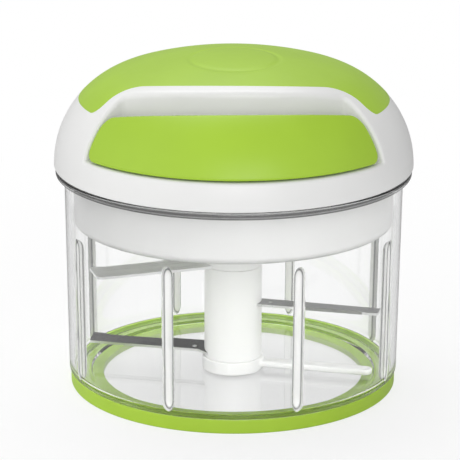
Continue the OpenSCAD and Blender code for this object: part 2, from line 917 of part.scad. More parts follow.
module spool_screw() {
    color(steel)
        translate([0, 0, spool_well_z])
            rotate([180, 0, 0])
                screw(screw_len);
}

// Block of the handle between the dome's outside and its own back, set in by amounts
module handle_block(front, side, back, low) {
    intersection() {
        dome_solid(front, dome_z);
        translate([-handle_shift, 0, 0])
            front_prism(handle_sweep_r + back, handle_c, -handle_gap - side, handle_corner_r, handle_z + low);
    }
}

module pull_handle() {
    color(green)
        difference() {
            handle_block(0, 0, 0, 0);
            handle_block(handle_wall, handle_wall, -cut, handle_wall);
        }
}

module handle_plate() {
    inset = handle_wall + plate_gap;
    color(white)
        difference() {
            handle_block(inset, inset, 0, inset);
            translate([-handle_shift, 0, 0])
                front_prism(handle_sweep_r + plate_t, handle_c, inset, handle_corner_r, handle_z);
            translate([0, 0, cord_z])
                rotate([90, 0, 0])
                    cylinder(r = cord_r + cord_hole_gap, h = dome_r, $fn = 32);
        }
}

module cord_stop() {
    color(steel)
        translate([0, ferrule_y, cord_z])
            rotate([90, 0, 0])
                cylinder(r = ferrule_r, h = ferrule_len, $fn = 32);
}

module pull_cord() {
    first = cord_bend - cord_leave;
    heading = atan2(first.y, first.x);
    rings = [
        cord_ring(cord_leave, heading),
        cord_ring(cord_bend, (heading - 90) / 2),
        cord_ring([0, ferrule_y], -90)];
    last = 2 * cord_sides;
    color(white)
        polyhedron(
            [for (ring = rings) each ring],
            concat(
                [[for (i = [0:cord_sides - 1]) i]],
                cord_band(0),
                cord_band(1),
                [[for (i = [cord_sides - 1:-1:0]) last + i]]));
}

bowl();
base_ring();
pivot_pin();
base_collar();
shaft_bush();
blade_shaft();
drive_socket();
upper_blade();
middle_blade();
lower_blade();
lid_base();
dome_cover();
top_grip();
cord_guide();
drive_bush();
spool_plate();
plate_screws();
spring_arbor();
recoil_spring();
cord_spool();
cord_winding();
drive_shaft();
spool_screw();
pull_handle();
handle_plate();
cord_stop();
pull_cord();
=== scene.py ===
# %% [markdown]
# # A pull cord food chopper
# The CAD model in the frame says where every part sits and how it moves. This file dresses it:
# smooth meshes for what shows, procedural finishes for everything, a camera and a plain studio.
# Lengths are in millimetres until a mesh is made, because that is how the parts are measured.

# %% Load the frame
import math

import bmesh
import bpy
import numpy as np
from mathutils import Matrix, Vector
from mathutils.geometry import delaunay_2d_cdt


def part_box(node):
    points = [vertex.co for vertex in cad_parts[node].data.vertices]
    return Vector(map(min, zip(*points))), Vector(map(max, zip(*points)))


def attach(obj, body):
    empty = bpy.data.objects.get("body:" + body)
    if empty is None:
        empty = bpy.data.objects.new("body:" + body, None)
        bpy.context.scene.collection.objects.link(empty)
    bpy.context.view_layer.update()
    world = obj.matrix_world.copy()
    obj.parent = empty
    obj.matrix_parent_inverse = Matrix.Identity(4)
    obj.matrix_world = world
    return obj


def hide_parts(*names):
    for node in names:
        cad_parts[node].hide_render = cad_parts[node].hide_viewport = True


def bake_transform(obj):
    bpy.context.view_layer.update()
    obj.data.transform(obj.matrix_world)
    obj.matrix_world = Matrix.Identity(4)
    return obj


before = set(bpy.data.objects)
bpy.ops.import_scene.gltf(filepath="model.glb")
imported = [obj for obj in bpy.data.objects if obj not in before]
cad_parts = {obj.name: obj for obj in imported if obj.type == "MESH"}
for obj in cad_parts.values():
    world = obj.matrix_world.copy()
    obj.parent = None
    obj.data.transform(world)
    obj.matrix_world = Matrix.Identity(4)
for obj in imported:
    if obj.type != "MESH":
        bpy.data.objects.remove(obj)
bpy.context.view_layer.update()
scene = bpy.context.scene
MM = 0.001


def box_mm(node):
    """Lowest and highest corner of a CAD node, in millimetres."""
    low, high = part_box(node)
    return np.array(low) / MM, np.array(high) / MM


def add_object(name, data):
    """An object at the origin of the scene. Its data takes its name."""
    data.name = name
    made = bpy.data.objects.new(name, data)
    scene.collection.objects.link(made)
    return made


# %% [markdown]
# ## The camera
# The photograph was taken from the front, a little above the lid, with a long lens: the bowl's
# two rims are almost parallel ellipses. A long lens is a narrow angle from far away, so the camera
# stands a metre off and its focal length fills the frame.

# %% Place the camera
AIM = Vector((-1.35, 0, 60.9)) * MM
ELEVATION = math.radians(16.68)
ROLL = math.radians(0.26)
DISTANCE = 1.0
LENS = 198.92
SENSOR = 36

lens = bpy.data.cameras.new("camera")
lens.lens = LENS
lens.sensor_width = SENSOR
camera = add_object("camera", lens)
camera.matrix_world = (
    Matrix.Translation(AIM)
    @ Matrix.Rotation(math.pi / 2 - ELEVATION, 4, "X")
    @ Matrix.Rotation(ROLL, 4, "Z")
    @ Matrix.Translation((0, 0, DISTANCE))
)
scene.camera = camera
scene.view_settings.view_transform = "Standard"
print("camera at", [round(c, 3) for c in camera.matrix_world.translation])

# %% [markdown]
# ## Sums that make nodes
# Shader and geometry trees do arithmetic with Math nodes, which are slow to wire by hand. A small
# class wraps an output socket and overloads Python's operators, so that `1 - mask` adds the node.
# Every other node comes from one method, `add`, which sets a node's options before its sockets.

# %% A socket that takes part in sums
OPERATIONS = {"add": "ADD", "sub": "SUBTRACT", "mul": "MULTIPLY", "truediv": "DIVIDE", "pow": "POWER"}


class Socket:
    """An output socket. A sum with it adds a Math node to its tree."""

    def __init__(self, nodes, socket):
        self.nodes = nodes
        self.socket = socket

    def math(self, operation, *terms):
        return self.nodes.add("ShaderNodeMath", {"operation": operation}, dict(enumerate(terms)))

    def least(self, other):
        return self.math("MINIMUM", self, other)

    def most(self, other):
        return self.math("MAXIMUM", self, other)

    def limit(self):
        return self.most(0).least(1)

    def ramp(self, start, slope):
        """0 up to the start, then rising to 1."""
        return ((self - start) * slope).limit()

    def contrast(self, gain):
        """A noise spread further from its middle."""
        return ((self - 0.5) * gain + 0.5).limit()


# Each operator gets two methods, for a socket on its left and for one on its right.
for name, operation in OPERATIONS.items():
    setattr(Socket, f"__{name}__", lambda self, other, do=operation: self.math(do, self, other))
    setattr(Socket, f"__r{name}__", lambda self, other, do=operation: self.math(do, other, self))
print("sums:", ", ".join(OPERATIONS))


# %% A node tree that is easy to fill
class Nodes:
    """A node tree and the methods that add to it."""

    def __init__(self, tree):
        self.tree = tree

    def add(self, kind, settings=None, inputs=None, output=0):
        node = self.tree.nodes.new(kind)
        for name, value in (settings or {}).items():
            setattr(node, name, value)
        self.plug(node, inputs or {})
        return Socket(self, node.outputs[output]) if node.outputs else node

    def plug(self, node, inputs):
        """Links or sets a node's inputs."""
        for key, value in inputs.items():
            if isinstance(value, Socket):
                self.tree.links.new(value.socket, node.inputs[key])
            else:
                node.inputs[key].default_value = value

    def place(self):
        """The place on the part, which stays with it when it moves."""
        return self.add("ShaderNodeTexCoord", output="Object")

    def parts(self, vector):
        """The three numbers in a vector."""
        node = self.tree.nodes.new("ShaderNodeSeparateXYZ")
        self.plug(node, {0: vector})
        return [Socket(self, number) for number in node.outputs]

    def noise(self, place, scale, detail, roughness):
        inputs = {"Vector": place, "Scale": scale, "Detail": detail, "Roughness": roughness}
        return self.add("ShaderNodeTexNoise", inputs=inputs)

    def bump(self, height, strength, distance):
        inputs = {"Height": height, "Strength": strength, "Distance": distance}
        return self.add("ShaderNodeBump", inputs=inputs)

    def mixed(self, factor, first, second):
        """A colour between two colours."""
        return self.add("ShaderNodeMix", {"data_type": "RGBA"}, {0: factor, 6: first, 7: second}, 2)

    def mixed_shaders(self, factor, first, second):
        return self.add("ShaderNodeMixShader", inputs={0: factor, 1: first, 2: second})

    def light_path(self):
        """1 where the camera sees a point, a mirror does, clear plastic does, or it lights a surface."""
        names = ("Is Camera Ray", "Is Glossy Ray", "Is Transmission Ray", "Diffuse Depth")
        return [self.add("ShaderNodeLightPath", output=name).least(1) for name in names]


def blank(owner):
    """The emptied node tree of a world or a material."""
    owner.use_nodes = True
    owner.node_tree.nodes.clear()
    return Nodes(owner.node_tree)


def grey(tone):
    return (tone,) * 3 + (1,)


print("node helpers ready")

# %% [markdown]
# ## The studio
# The object stands on a white sweep before a white background. The camera and clear plastic see that
# white directly, and only matt surfaces take the soft light, so nothing clips. Near the object the
# floor is a little matt, which keeps a soft shadow under it. The soft light comes mostly from the left,
# so that round shapes shade off to the right. What stands in the clear bowl is lit from above as well,
# because the lid keeps the lamps off it. Grey boards that only reflections and bent views meet give
# white and clear plastic their outlines.

# %% World
ROOM_LIGHT = {"left": 1.25, "right": 0.47, "front": 0.4, "back": 0.25, "above": 0.0}
BOWL_LIGHT = {"left": 1.3, "right": 1.5, "front": 0.4, "back": 0.4, "above": 2.8}
BOARDS = {  # where each board begins, as the sine of an angle, and its grey
    "left": (0.5, 0.6),
    "right": (0.5, 0.65),
    "above": (0.0, 0.68),
}
BOARD_EDGE = 5
BACK_GREY = 0.3
BACK_FROM, BACK_EDGE = -0.3, 2

world = bpy.data.worlds.new("studio")
scene.world = world
room = blank(world)
camera_sees, mirror_sees, clear_sees, lighting = room.light_path()
right, back, up = room.parts(room.add("ShaderNodeTexCoord", output="Generated"))
sides = {"left": 0 - right, "right": right, "front": 0 - back, "back": back, "above": up}
ambient = sum(
    side.most(0) * (ROOM_LIGHT[name] + clear_sees * (BOWL_LIGHT[name] - ROOM_LIGHT[name]))
    for name, side in sides.items()
)
boards = sum(sides[name].ramp(start, BOARD_EDGE) * (1 - tone) for name, (start, tone) in BOARDS.items())
mirrored = 1 - back.ramp(BACK_FROM, BACK_EDGE) * (1 - BACK_GREY)
seen = camera_sees.most(clear_sees * (1 - boards.limit())).most(mirror_sees * mirrored)
strength = lighting * ambient + (1 - lighting) * seen
backdrop = room.add("ShaderNodeBackground", inputs={"Color": grey(1), "Strength": strength})
room.add("ShaderNodeOutputWorld", inputs={"Surface": backdrop})
print("world: soft light", ROOM_LIGHT)

# %% Lamps
LAMPS = {
    "front": {"at": (0.2, -1.5, 0.55), "size": 0.9, "power": 6.9},
    "top": {"at": (-0.1, 0.45, 1.15), "size": 0.9, "power": 7.1},
}
LIGHT_AIM = Vector((0, 0, 70)) * MM

for name, lamp in LAMPS.items():
    data = bpy.data.lights.new(name, "AREA")
    data.size = lamp["size"]
    data.energy = lamp["power"]
    place = Vector(lamp["at"])
    turn = (place - LIGHT_AIM).to_track_quat("Z", "Y").to_matrix().to_4x4()
    add_object(name, data).matrix_world = Matrix.Translation(place) @ turn
print("lamps:", ", ".join(LAMPS))

# %% Floor
FLOOR_R, FLOOR_STEPS = 1.6, 64
SHADOW_R, SHADOW_SHARE = 0.35, 0.3
UNDER_R, UNDER_SHARE, UNDER_EDGE = 0.06, 0.1, 100
PAPER = 0.95

disc = bmesh.new()
bmesh.ops.create_circle(disc, cap_ends=True, radius=FLOOR_R, segments=FLOOR_STEPS)
floor = add_object("floor", bpy.data.meshes.new("floor"))
disc.to_mesh(floor.data)
disc.free()
floor_finish = bpy.data.materials.new("floor")
sweep = blank(floor_finish)
camera_sees, mirror_sees, clear_sees, lighting = sweep.light_path()
distance = sweep.add("ShaderNodeVectorMath", {"operation": "LENGTH"}, {0: sweep.place()}, "Value")
under = (UNDER_R - distance).ramp(0, UNDER_EDGE)
share = (1 - distance / SHADOW_R).limit() * SHADOW_SHARE + under * UNDER_SHARE
paper = sweep.add("ShaderNodeBsdfDiffuse", inputs={"Color": grey(PAPER)})
white = camera_sees.most(clear_sees).most(mirror_sees * BACK_GREY)
glow = sweep.add("ShaderNodeEmission", inputs={"Color": grey(1), "Strength": white})
seen = sweep.mixed_shaders(share, glow, paper)
sweep.add("ShaderNodeOutputMaterial", inputs={"Surface": sweep.mixed_shaders(lighting, seen, paper)})
floor.data.materials.append(floor_finish)
print("floor of", FLOOR_R, "m")

# %% [markdown]
# ## Finishes
# Moulded plastic is never quite even. Its colour drifts a little where the melt flowed, its gloss
# changes from place to place, and a fine grain from the mould breaks up reflections. One function
# makes all the moulded finishes from these three, because they differ only in colour and amounts.
# The patterns read Object coordinates, so they stay on the part when it moves.

# %% Moulded plastic
FLOW_GAIN = 2.4
GLOSS_SPREAD = 0.16
GRAIN_H = 0.0002


def new_finish(name):
    """A material, its node helper, its principled shader and the place on the part."""
    material = bpy.data.materials.new(name)
    material.use_nodes = True
    nodes = Nodes(material.node_tree)
    return material, nodes, material.node_tree.nodes["Principled BSDF"], nodes.place()


def linear(red, green, blue):
    """A colour given in 0 to 255 screen values, as the linear light that shaders use."""
    values = [c / 255 for c in (red, green, blue)]
    return tuple(c / 12.92 if c <= 0.04045 else ((c + 0.055) / 1.055) ** 2.4 for c in values) + (1,)


def tinted(colour, factor):
    return tuple(min(c * factor, 1) for c in colour[:3]) + (1,)


def moulded(name, colour, gloss, drift=0.03, grain=2600, depth=0.06, sheen=0.0):
    """Injection moulded plastic or rubber: drifting colour, uneven gloss and a fine mould grain."""
    material, nodes, shader, place = new_finish(name)
    flow = nodes.noise(place, scale=38, detail=3, roughness=0.5)
    smear = nodes.noise(place, scale=160, detail=4, roughness=0.6)
    pits = nodes.noise(place, scale=grain, detail=2, roughness=0.5)
    dark, bright = tinted(colour, 1 - drift), tinted(colour, 1 + drift)
    nodes.plug(shader, {
        "Base Color": nodes.mixed(flow.contrast(FLOW_GAIN), dark, bright),
        "Roughness": (smear - 0.5) * GLOSS_SPREAD + gloss,
        "Normal": nodes.bump(pits, strength=depth, distance=GRAIN_H),
        "Sheen Weight": sheen,
    })
    return material


# The foot ring's green is the pad's green made a little lighter: painted light, since the lamps leave the
# low ring darker than the pad.
GREEN, RING_LIT_GREEN = linear(166, 204, 52), linear(173, 210, 58)
RUBBER = {"gloss": 0.46, "grain": 3200, "depth": 0.12, "sheen": 0.05}
green_rubber = moulded("green_rubber", GREEN, **RUBBER)
lit_ring_rubber = moulded("lit_ring_rubber", RING_LIT_GREEN, **RUBBER)
green_plastic = moulded("green_plastic", GREEN, gloss=0.38, grain=3000, depth=0.08)
white_plastic = moulded("white_plastic", linear(236, 236, 235), gloss=0.34, drift=0.012)
# The plug's white is the dome's white plastic painted darker: painted shade, for the shade it stands in
# under the dome.
shaded_plug_white = moulded("shaded_plug_white", linear(217, 217, 216), gloss=0.4, drift=0.012)
# The column's white is the white plastic painted lighter: painted light, for the dim light inside the bowl.
lit_column_white = moulded("lit_column_white", linear(246, 246, 245), gloss=0.32, drift=0.008)
grey_plastic = moulded("grey_plastic", linear(150, 152, 154), gloss=0.45)
print("moulded finishes: 3 green, 3 white, grey")

# %% [markdown]
# ## Metals and cord
# The blades are ground sheet steel. Grinding leaves hair lines along one direction, so a noise is
# stretched with a Mapping node until it becomes streaks. The pin, screws and ferrule are turned or
# pressed steel with a plain mottle. The cord is braided nylon: a fine basket of bumps.

# %% Steel, bronze and nylon
LINE_GAIN, LINE_DARK, LINE_BRIGHT = 2, 0.86, 1.12
LINE_GLOSS, CLOUD_GLOSS = 0.2, 0.12
CUT_GAIN = 2
STRAND_DARK = 0.72
STRAND_ROUGH, STRAND_GLOSS = 0.8, 0.15


def ground_steel(name, colour, gloss, turn=0.0, along=12, across=2600, edge=0.0):
    """Sheet steel with grinding lines that run in one direction, and brighter where it was cut."""
    material, nodes, shader, place = new_finish(name)
    turned = nodes.add(
        "ShaderNodeMapping", {"vector_type": "TEXTURE"}, {"Vector": place, "Rotation": (0, 0, turn)})
    stretched = nodes.add("ShaderNodeMapping", {}, {"Vector": turned, "Scale": (along, across, along)})
    lines = nodes.noise(stretched, scale=1, detail=4, roughness=0.65)
    cloud = nodes.noise(place, scale=120, detail=3, roughness=0.5)
    shade = nodes.mixed(lines.contrast(LINE_GAIN), tinted(colour, LINE_DARK), tinted(colour, LINE_BRIGHT))
    if edge:
        level = nodes.parts(nodes.add("ShaderNodeTexCoord", output="Normal"))[2]
        shade = nodes.mixed(((1 - level * level) * CUT_GAIN).limit(), shade, grey(edge))
    nodes.plug(shader, {
        "Base Color": shade,
        "Roughness": (lines - 0.5) * LINE_GLOSS + (cloud - 0.5) * CLOUD_GLOSS + gloss,
        "Normal": nodes.bump(lines, strength=0.12, distance=0.0001),
        "Metallic": 1,
    })
    return material


def braided(name, colour, scale=150):
    """Braided nylon: two crossed waves that make small diamonds."""
    material, nodes, shader, place = new_finish(name)
    waves = []
    for side in (1, -1):
        turned = nodes.add("ShaderNodeMapping", {}, {"Vector": place, "Scale": (side, 1, 1)})
        inputs = {"Vector": turned, "Scale": scale, "Distortion": 0.4}
        waves.append(nodes.add("ShaderNodeTexWave", {"bands_direction": "DIAGONAL"}, inputs, 1))
    strands = waves[0].most(waves[1])
    nodes.plug(shader, {
        "Base Color": nodes.mixed(strands, tinted(colour, STRAND_DARK), colour),
        "Roughness": STRAND_ROUGH - strands * STRAND_GLOSS,
        "Normal": nodes.bump(strands, strength=0.35, distance=0.0002),
    })
    return material


steel = ground_steel("steel", grey(0.6), gloss=0.3, along=300, across=900)
bronze = ground_steel("bronze", (0.6, 0.45, 0.25, 1), gloss=0.42, along=500, across=500)
cord_nylon = braided("cord_nylon", linear(232, 232, 228))
print("metals and cord ready")

# %% [markdown]
# ## Clear plastic
# The bowl bends light like glass, so it takes full transmission with the plastic's index. A path
# tracer is bad at finding lamps through glass, so shadow rays pass straight through, with a slight
# tint, by a Mix Shader. The thick rim's top band is painted grey: painted shade for the dark band of
# the shaded gap under the dome. The ribs gather light like a rod: they glow white along the middle,
# between two grey lines. That glow and those lines are painted light: a `rib` value, which rises from 0
# at the rib's foot to 1 on its crest, mixes in a matt white as a painted highlight, with two lines of
# painted shade.

# %% Clear plastic finish
CLEAR_INDEX = 1.5
CLEAR_TINT = (0.996, 0.998, 0.997, 1)
SHADOW_TINT = (0.985, 0.987, 0.986, 1)
# The rim's grey colour is painted shade, standing in for the shaded gap under the dome.
RIM_PAINTED_SHADE, RIM_H, RIM_SHADE_SLOPE = 0.35, 2.7, 4
SCUFF_FROM, SCUFF_GLOSS, POLISH = 0.62, 0.3, 0.015
# The ribs' white middle is a painted highlight and their grey lines are painted shade, for the light that a
# rib gathers and bends.
FLANK_PAINT, CORE_PAINT, FLANK_SLOPE = 0.5, 0.85, 20
RIB_PAINTED_HIGHLIGHT, RIB_PAINTED_SHADE, RIB_PAINT_ROUGH = linear(244, 244, 243), linear(132, 133, 133), 0.8
SHADE_LINE_FROM, SHADE_LINE_FROM_SLOPE = 0.42, 10
SHADE_LINE_TO, SHADE_LINE_TO_SLOPE = 0.66, 7

clear_plastic, nodes, shader, place = new_finish("clear_plastic")
ripple = nodes.noise(place, scale=55, detail=2, roughness=0.4)
scuff = nodes.noise(place, scale=700, detail=4, roughness=0.7)
height = nodes.parts(place)[2]
# Painted shade: the rim's top band is coloured grey for the dark band under the dome.
rim_shade_mask = (height / MM).ramp(box_mm("bowl")[1][2] - RIM_H, RIM_SHADE_SLOPE)
nodes.plug(shader, {
    "Base Color": nodes.mixed(rim_shade_mask, CLEAR_TINT, grey(RIM_PAINTED_SHADE)),
    "Roughness": scuff.ramp(SCUFF_FROM, SCUFF_GLOSS) + POLISH,
    "Normal": nodes.bump(ripple, strength=0.015, distance=0.001),
    "Transmission Weight": 1,
    "IOR": CLEAR_INDEX,
})
# Painted light on the ribs: a matt white along the middle, a painted highlight, between two lines of painted
# shade.
rib = nodes.add("ShaderNodeAttribute", {"attribute_name": "rib"}, output="Fac")
into_shade_line, out_of_shade_line = rib.ramp(SHADE_LINE_FROM, SHADE_LINE_FROM_SLOPE), rib.ramp(SHADE_LINE_TO, SHADE_LINE_TO_SLOPE)
lines = nodes.mixed(into_shade_line - out_of_shade_line, RIB_PAINTED_HIGHLIGHT, RIB_PAINTED_SHADE)
rib_painted_light = nodes.add("ShaderNodeBsdfPrincipled", inputs={
    "Base Color": lines, "Roughness": RIB_PAINT_ROUGH, "Specular IOR Level": 0.0})
amount = rib.ramp(0, FLANK_SLOPE) * FLANK_PAINT + into_shade_line * (CORE_PAINT - FLANK_PAINT)
body = nodes.mixed_shaders(amount, Socket(nodes, shader.outputs[0]), rib_painted_light)
passing = nodes.add("ShaderNodeBsdfTransparent", inputs={"Color": SHADOW_TINT})
shadow_ray = nodes.add("ShaderNodeLightPath", output="Is Shadow Ray")
surface = nodes.mixed_shaders(shadow_ray, body, passing)
nodes.plug(clear_plastic.node_tree.nodes["Material Output"], {"Surface": surface})
print("clear plastic, index", CLEAR_INDEX)

# %% [markdown]
# ## Making a mesh a piece
# Each new mesh is scaled from millimetres to metres, gets its finish, rides on a CAD body and takes
# the place of the CAD nodes it stands for. One function does that for all of them.

# %% Pieces
def as_mesh(points, faces):
    """A smooth mesh from points in millimetres."""
    mesh = bpy.data.meshes.new("mesh")
    mesh.from_pydata((np.asarray(points, float) * MM).tolist(), [], [list(map(int, f)) for f in faces])
    mesh.validate()
    mesh.shade_smooth()
    return mesh


def as_piece(name, mesh, finish, body, slot, *nodes):
    """An object of that mesh, riding on a body in place of CAD nodes."""
    piece = add_object(name, mesh)
    piece.data.materials.clear()
    piece.data.materials.append(finish)
    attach(piece, body)
    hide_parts(*nodes)
    triangles = sum(len(p.vertices) - 2 for p in piece.data.polygons)
    print(f"{name}: {triangles} triangles on {body}, for {', '.join(nodes)}")


def closed(mesh):
    """Merges doubled points and turns all faces outwards."""
    work = bmesh.new()
    work.from_mesh(mesh)
    bmesh.ops.remove_doubles(work, verts=work.verts, dist=1e-7)
    bmesh.ops.dissolve_degenerate(work, edges=work.edges, dist=1e-8)
    bmesh.ops.recalc_face_normals(work, faces=work.faces)
    work.to_mesh(mesh)
    work.free()
    mesh.shade_smooth()
    return mesh


def bands(rings, count, joined=False, start=0):
    """Quads between rings of points that follow one another, the last joined to the first if asked."""
    faces = []
    for n in range(rings if joined else rings - 1):
        a, b = start + n * count, start + (n + 1) % rings * count
        faces += [(a + k, b + k, b + (k + 1) % count, a + (k + 1) % count) for k in range(count)]
    return faces


print("piece helpers ready")

# %% [markdown]
# ## Turned outlines
# Bowl, foot ring, plug and column are all round. Their section is drawn once, corner by corner, and
# swept round the axis. Every corner gets a radius, since no moulded edge is sharp and a small radius
# catches a highlight. An extra ring beside each radius holds the flat faces flat under smooth shading.

# %% Rounded outline and sweep
HOLD = 0.4


def unit(v):
    return v / np.linalg.norm(v, axis=-1, keepdims=True)


def rounded(corners, per_turn=36):
    """Points of a closed outline whose (x, y, radius) corners are rounded."""
    spots = [np.array(c[:2], float) for c in corners]
    outline = []
    for i, here in enumerate(spots):
        radius, before, after = corners[i][2], spots[i - 1], spots[(i + 1) % len(spots)]
        if radius == 0:
            outline.append(here)
            continue
        back, ahead = unit(before - here), unit(after - here)
        opening = math.acos(np.clip(back @ ahead, -1, 1))
        reach = radius / math.tan(opening / 2)
        centre = here + unit(back + ahead) * radius / math.sin(opening / 2)
        first, last = here + back * reach - centre, here + ahead * reach - centre
        start = math.atan2(first[1], first[0])
        sweep = (math.atan2(last[1], last[0]) - start + math.pi) % math.tau - math.pi
        count = max(2, round(abs(sweep) / math.tau * per_turn))
        if np.linalg.norm(before - here) > 2 * (reach + HOLD):
            outline.append(here + back * (reach + HOLD))
        for a in (start + sweep * k / count for k in range(count + 1)):
            outline.append(centre + radius * np.array([math.cos(a), math.sin(a)]))
        if np.linalg.norm(after - here) > 2 * (reach + HOLD):
            outline.append(here + ahead * (reach + HOLD))
    return np.array(outline)


def swept(outline, angles):
    """Points and faces of an outline of (radius, height) swept round the axis, at the given angles."""
    points = [(r * math.cos(a), r * math.sin(a), z) for a in angles for r, z in outline]
    return points, bands(len(angles), len(outline), joined=True)


def even_angles(steps):
    return [math.tau * i / steps for i in range(steps)]


def turned(corners, steps=160):
    """A closed round mesh from the rounded corners of its section."""
    return closed(as_mesh(*swept(rounded(corners), even_angles(steps))))


print("outline helpers ready")

# %% [markdown]
# ## The bowl
# The bowl is one clear moulding: floor, wall, rim and eight upright ribs that stop the food from
# spinning with the blades. Clear plastic shows every inner boundary, so the ribs are part of the wall:
# a round bowl is swept first, with close spacing where ribs will stand, and a Geometry Nodes tree then
# moves the inner wall inwards. Count, width, depth and height of the ribs are inputs of the tree.

# %% Bowl section
bowl_low, bowl_high = box_mm("bowl")
ring_high = box_mm("base_ring")[1]
plug_low, plug_high = box_mm("lid_base")
SEAT = 0.05
BOWL_WALL = 2.0
BOWL_FLOOR = 2.0
FOOT_LIP = 1.42
RIM_LIP = 3.4
RIM_EDGE = 0.9
BOWL_SETBACK = 0.6
PIN_R = 2.52
PIN_SEAT = 0.5
BOSS_R = 4.5
BOSS_H = 2.5
STEP_R = 56.0
STEP_H = 1.0
RIB_COUNT = 8
RIB_W = 4.1
RIB_DEPTH = 2.4
RIB_ABOVE_FLOOR = 2.8
RIB_BELOW_PLUG = 1.6
SECTION_STEPS = 56

foot_z = bowl_low[2] + SEAT
floor_z = bowl_low[2] + BOWL_FLOOR
ring_r, ring_h = ring_high[0], ring_high[2]
low_r = ring_r + BOWL_SETBACK
rim_r, rim_top = bowl_high[0], bowl_high[2]
top_r = rim_r - RIM_LIP
rim_z = rim_top - RIM_H
taper = (top_r - low_r) / (rim_top - floor_z)
rib_low, rib_high = floor_z + RIB_ABOVE_FLOOR, plug_low[2] - RIB_BELOW_PLUG


def inner_r(z):
    """Radius of the bowl's inner wall."""
    return low_r - BOWL_WALL + taper * (z - floor_z)


# The inner wall's rings from the top down: close where the ribs end, wide between.
levels = np.concatenate([
    np.linspace(rib_high + 2, rib_high - 5, 26),
    np.linspace(rib_high - 7, rib_low + 12, 8),
    np.linspace(rib_low + 10, floor_z + 5.2, 14),
])
bowl_corners = [
    (0, foot_z, 0),
    (ring_r - FOOT_LIP, foot_z, 0.5),
    (ring_r - FOOT_LIP, ring_h + SEAT, 0.3),
    (low_r, ring_h + SEAT, 1.5),
    (top_r, rim_z, 0.8),
    (rim_r, rim_z, RIM_EDGE),
    (rim_r, rim_top, RIM_EDGE),
    (inner_r(rim_top), rim_top, 0.7),
    *[(inner_r(z), z, 0) for z in levels],
    (inner_r(floor_z + STEP_H), floor_z + STEP_H, 4.0),
    (STEP_R + STEP_H / 2, floor_z + STEP_H, 0.3),
    (STEP_R - STEP_H / 2, floor_z, 0.3),
    (BOSS_R, floor_z, 0.6),
    (BOSS_R, floor_z + BOSS_H, 0.4),
    (PIN_R, floor_z + BOSS_H, 0.3),
    (PIN_R, foot_z + PIN_SEAT, 0.2),
    (0, foot_z + PIN_SEAT, 0),
]
section = rounded(bowl_corners, SECTION_STEPS)
print("bowl section of", len(section), "points")

# %% Bowl before its ribs
# Degrees from a rib's middle: close across the rib, wide between ribs.
beside_rib = np.concatenate([np.linspace(0, 2.2, 12), [2.6, 3.2], np.arange(4, 22, 1.25)])
sector = 360 / RIB_COUNT
spread = np.concatenate([-beside_rib[:0:-1], beside_rib, [sector / 2]])
bowl_angles = [math.radians((i + 0.5) * sector + a) for i in range(RIB_COUNT) for a in spread]
round_bowl = closed(as_mesh(*swept(section, bowl_angles)))
print("bowl:", len(round_bowl.vertices), "points before its ribs")


# %% Making and running a geometry tree
def tree_with(name, **sizes):
    """A geometry tree with a mesh input, named number inputs and a material input."""
    tree = bpy.data.node_groups.new(name, "GeometryNodeTree")

    def socket(name, kind, in_out="INPUT"):
        return tree.interface.new_socket(name=name, in_out=in_out, socket_type="NodeSocket" + kind)

    socket("Geometry", "Geometry")
    for size, value in sizes.items():
        socket(size, "Float").default_value = value
    socket("Finish", "Material")
    socket("Geometry", "Geometry", "OUTPUT")
    nodes = Nodes(tree)
    entry = tree.nodes.new("NodeGroupInput")
    return tree, nodes, {s.name: Socket(nodes, s) for s in entry.outputs if s.name}


def close_tree(nodes, shape, finish):
    """Ends a tree in Realize Instances and Set Material."""
    real = nodes.add("GeometryNodeRealizeInstances", inputs={"Geometry": shape})
    painted = nodes.add("GeometryNodeSetMaterial", inputs={"Geometry": real, "Material": finish})
    nodes.add("NodeGroupOutput", inputs={"Geometry": painted})


def run_tree(mesh, tree, finish, **sizes):
    """The plain mesh that a tree makes from a mesh, with its inputs set by identifier."""
    carrier = add_object("carrier", mesh)
    modifier = carrier.modifiers.new("tree", "NODES")
    modifier.node_group = tree
    for item in tree.interface.items_tree:
        if item.in_out == "INPUT" and item.name in sizes:
            modifier[item.identifier] = float(sizes[item.name])
        if item.in_out == "INPUT" and item.name == "Finish":
            modifier[item.identifier] = finish
    evaluated = carrier.evaluated_get(bpy.context.evaluated_depsgraph_get())
    made = bpy.data.meshes.new_from_object(evaluated)
    carrier.modifiers.remove(modifier)
    bpy.data.objects.remove(carrier)
    return made


print("tree helpers ready")

# %% A tree that raises ribs on the inner wall
WALL_BAND = 0.0011

rib_tree, nodes, take = tree_with("ribs", Count=8, Width=0.004, Depth=0.002, Low=0.01, High=0.06, Wall=0.06)
x, y, z = nodes.parts(nodes.add("GeometryNodeInputPosition"))
radius = (x * x + y * y) ** 0.5
turns = y.math("ARCTAN2", y, x) / math.tau * take["Count"]
beside = (turns.math("FRACT", turns) - 0.5) / take["Count"] * math.tau * radius
from_middle = z - (take["Low"] + take["High"]) / 2
half = (take["High"] - take["Low"]) / 2
past = (from_middle.math("ABSOLUTE", from_middle) - half + take["Width"]).most(0) / take["Width"]
round_off = (1 - (beside / take["Width"] * 2) ** 2 - past * past).most(0) ** 0.5
on_wall = radius.math("COMPARE", radius, take["Wall"], WALL_BAND)
push = round_off * take["Depth"] * on_wall / radius
offset = nodes.add("ShaderNodeCombineXYZ", inputs={"X": 0 - x * push, "Y": 0 - y * push})
marked = nodes.add("GeometryNodeStoreNamedAttribute", {"domain": "POINT", "data_type": "FLOAT"}, {
    "Geometry": take["Geometry"], "Name": "rib", "Value": round_off * on_wall})
ribbed = nodes.add("GeometryNodeSetPosition", inputs={"Geometry": marked, "Offset": offset})
close_tree(nodes, ribbed, take["Finish"])
print("rib tree of", len(rib_tree.nodes), "nodes")

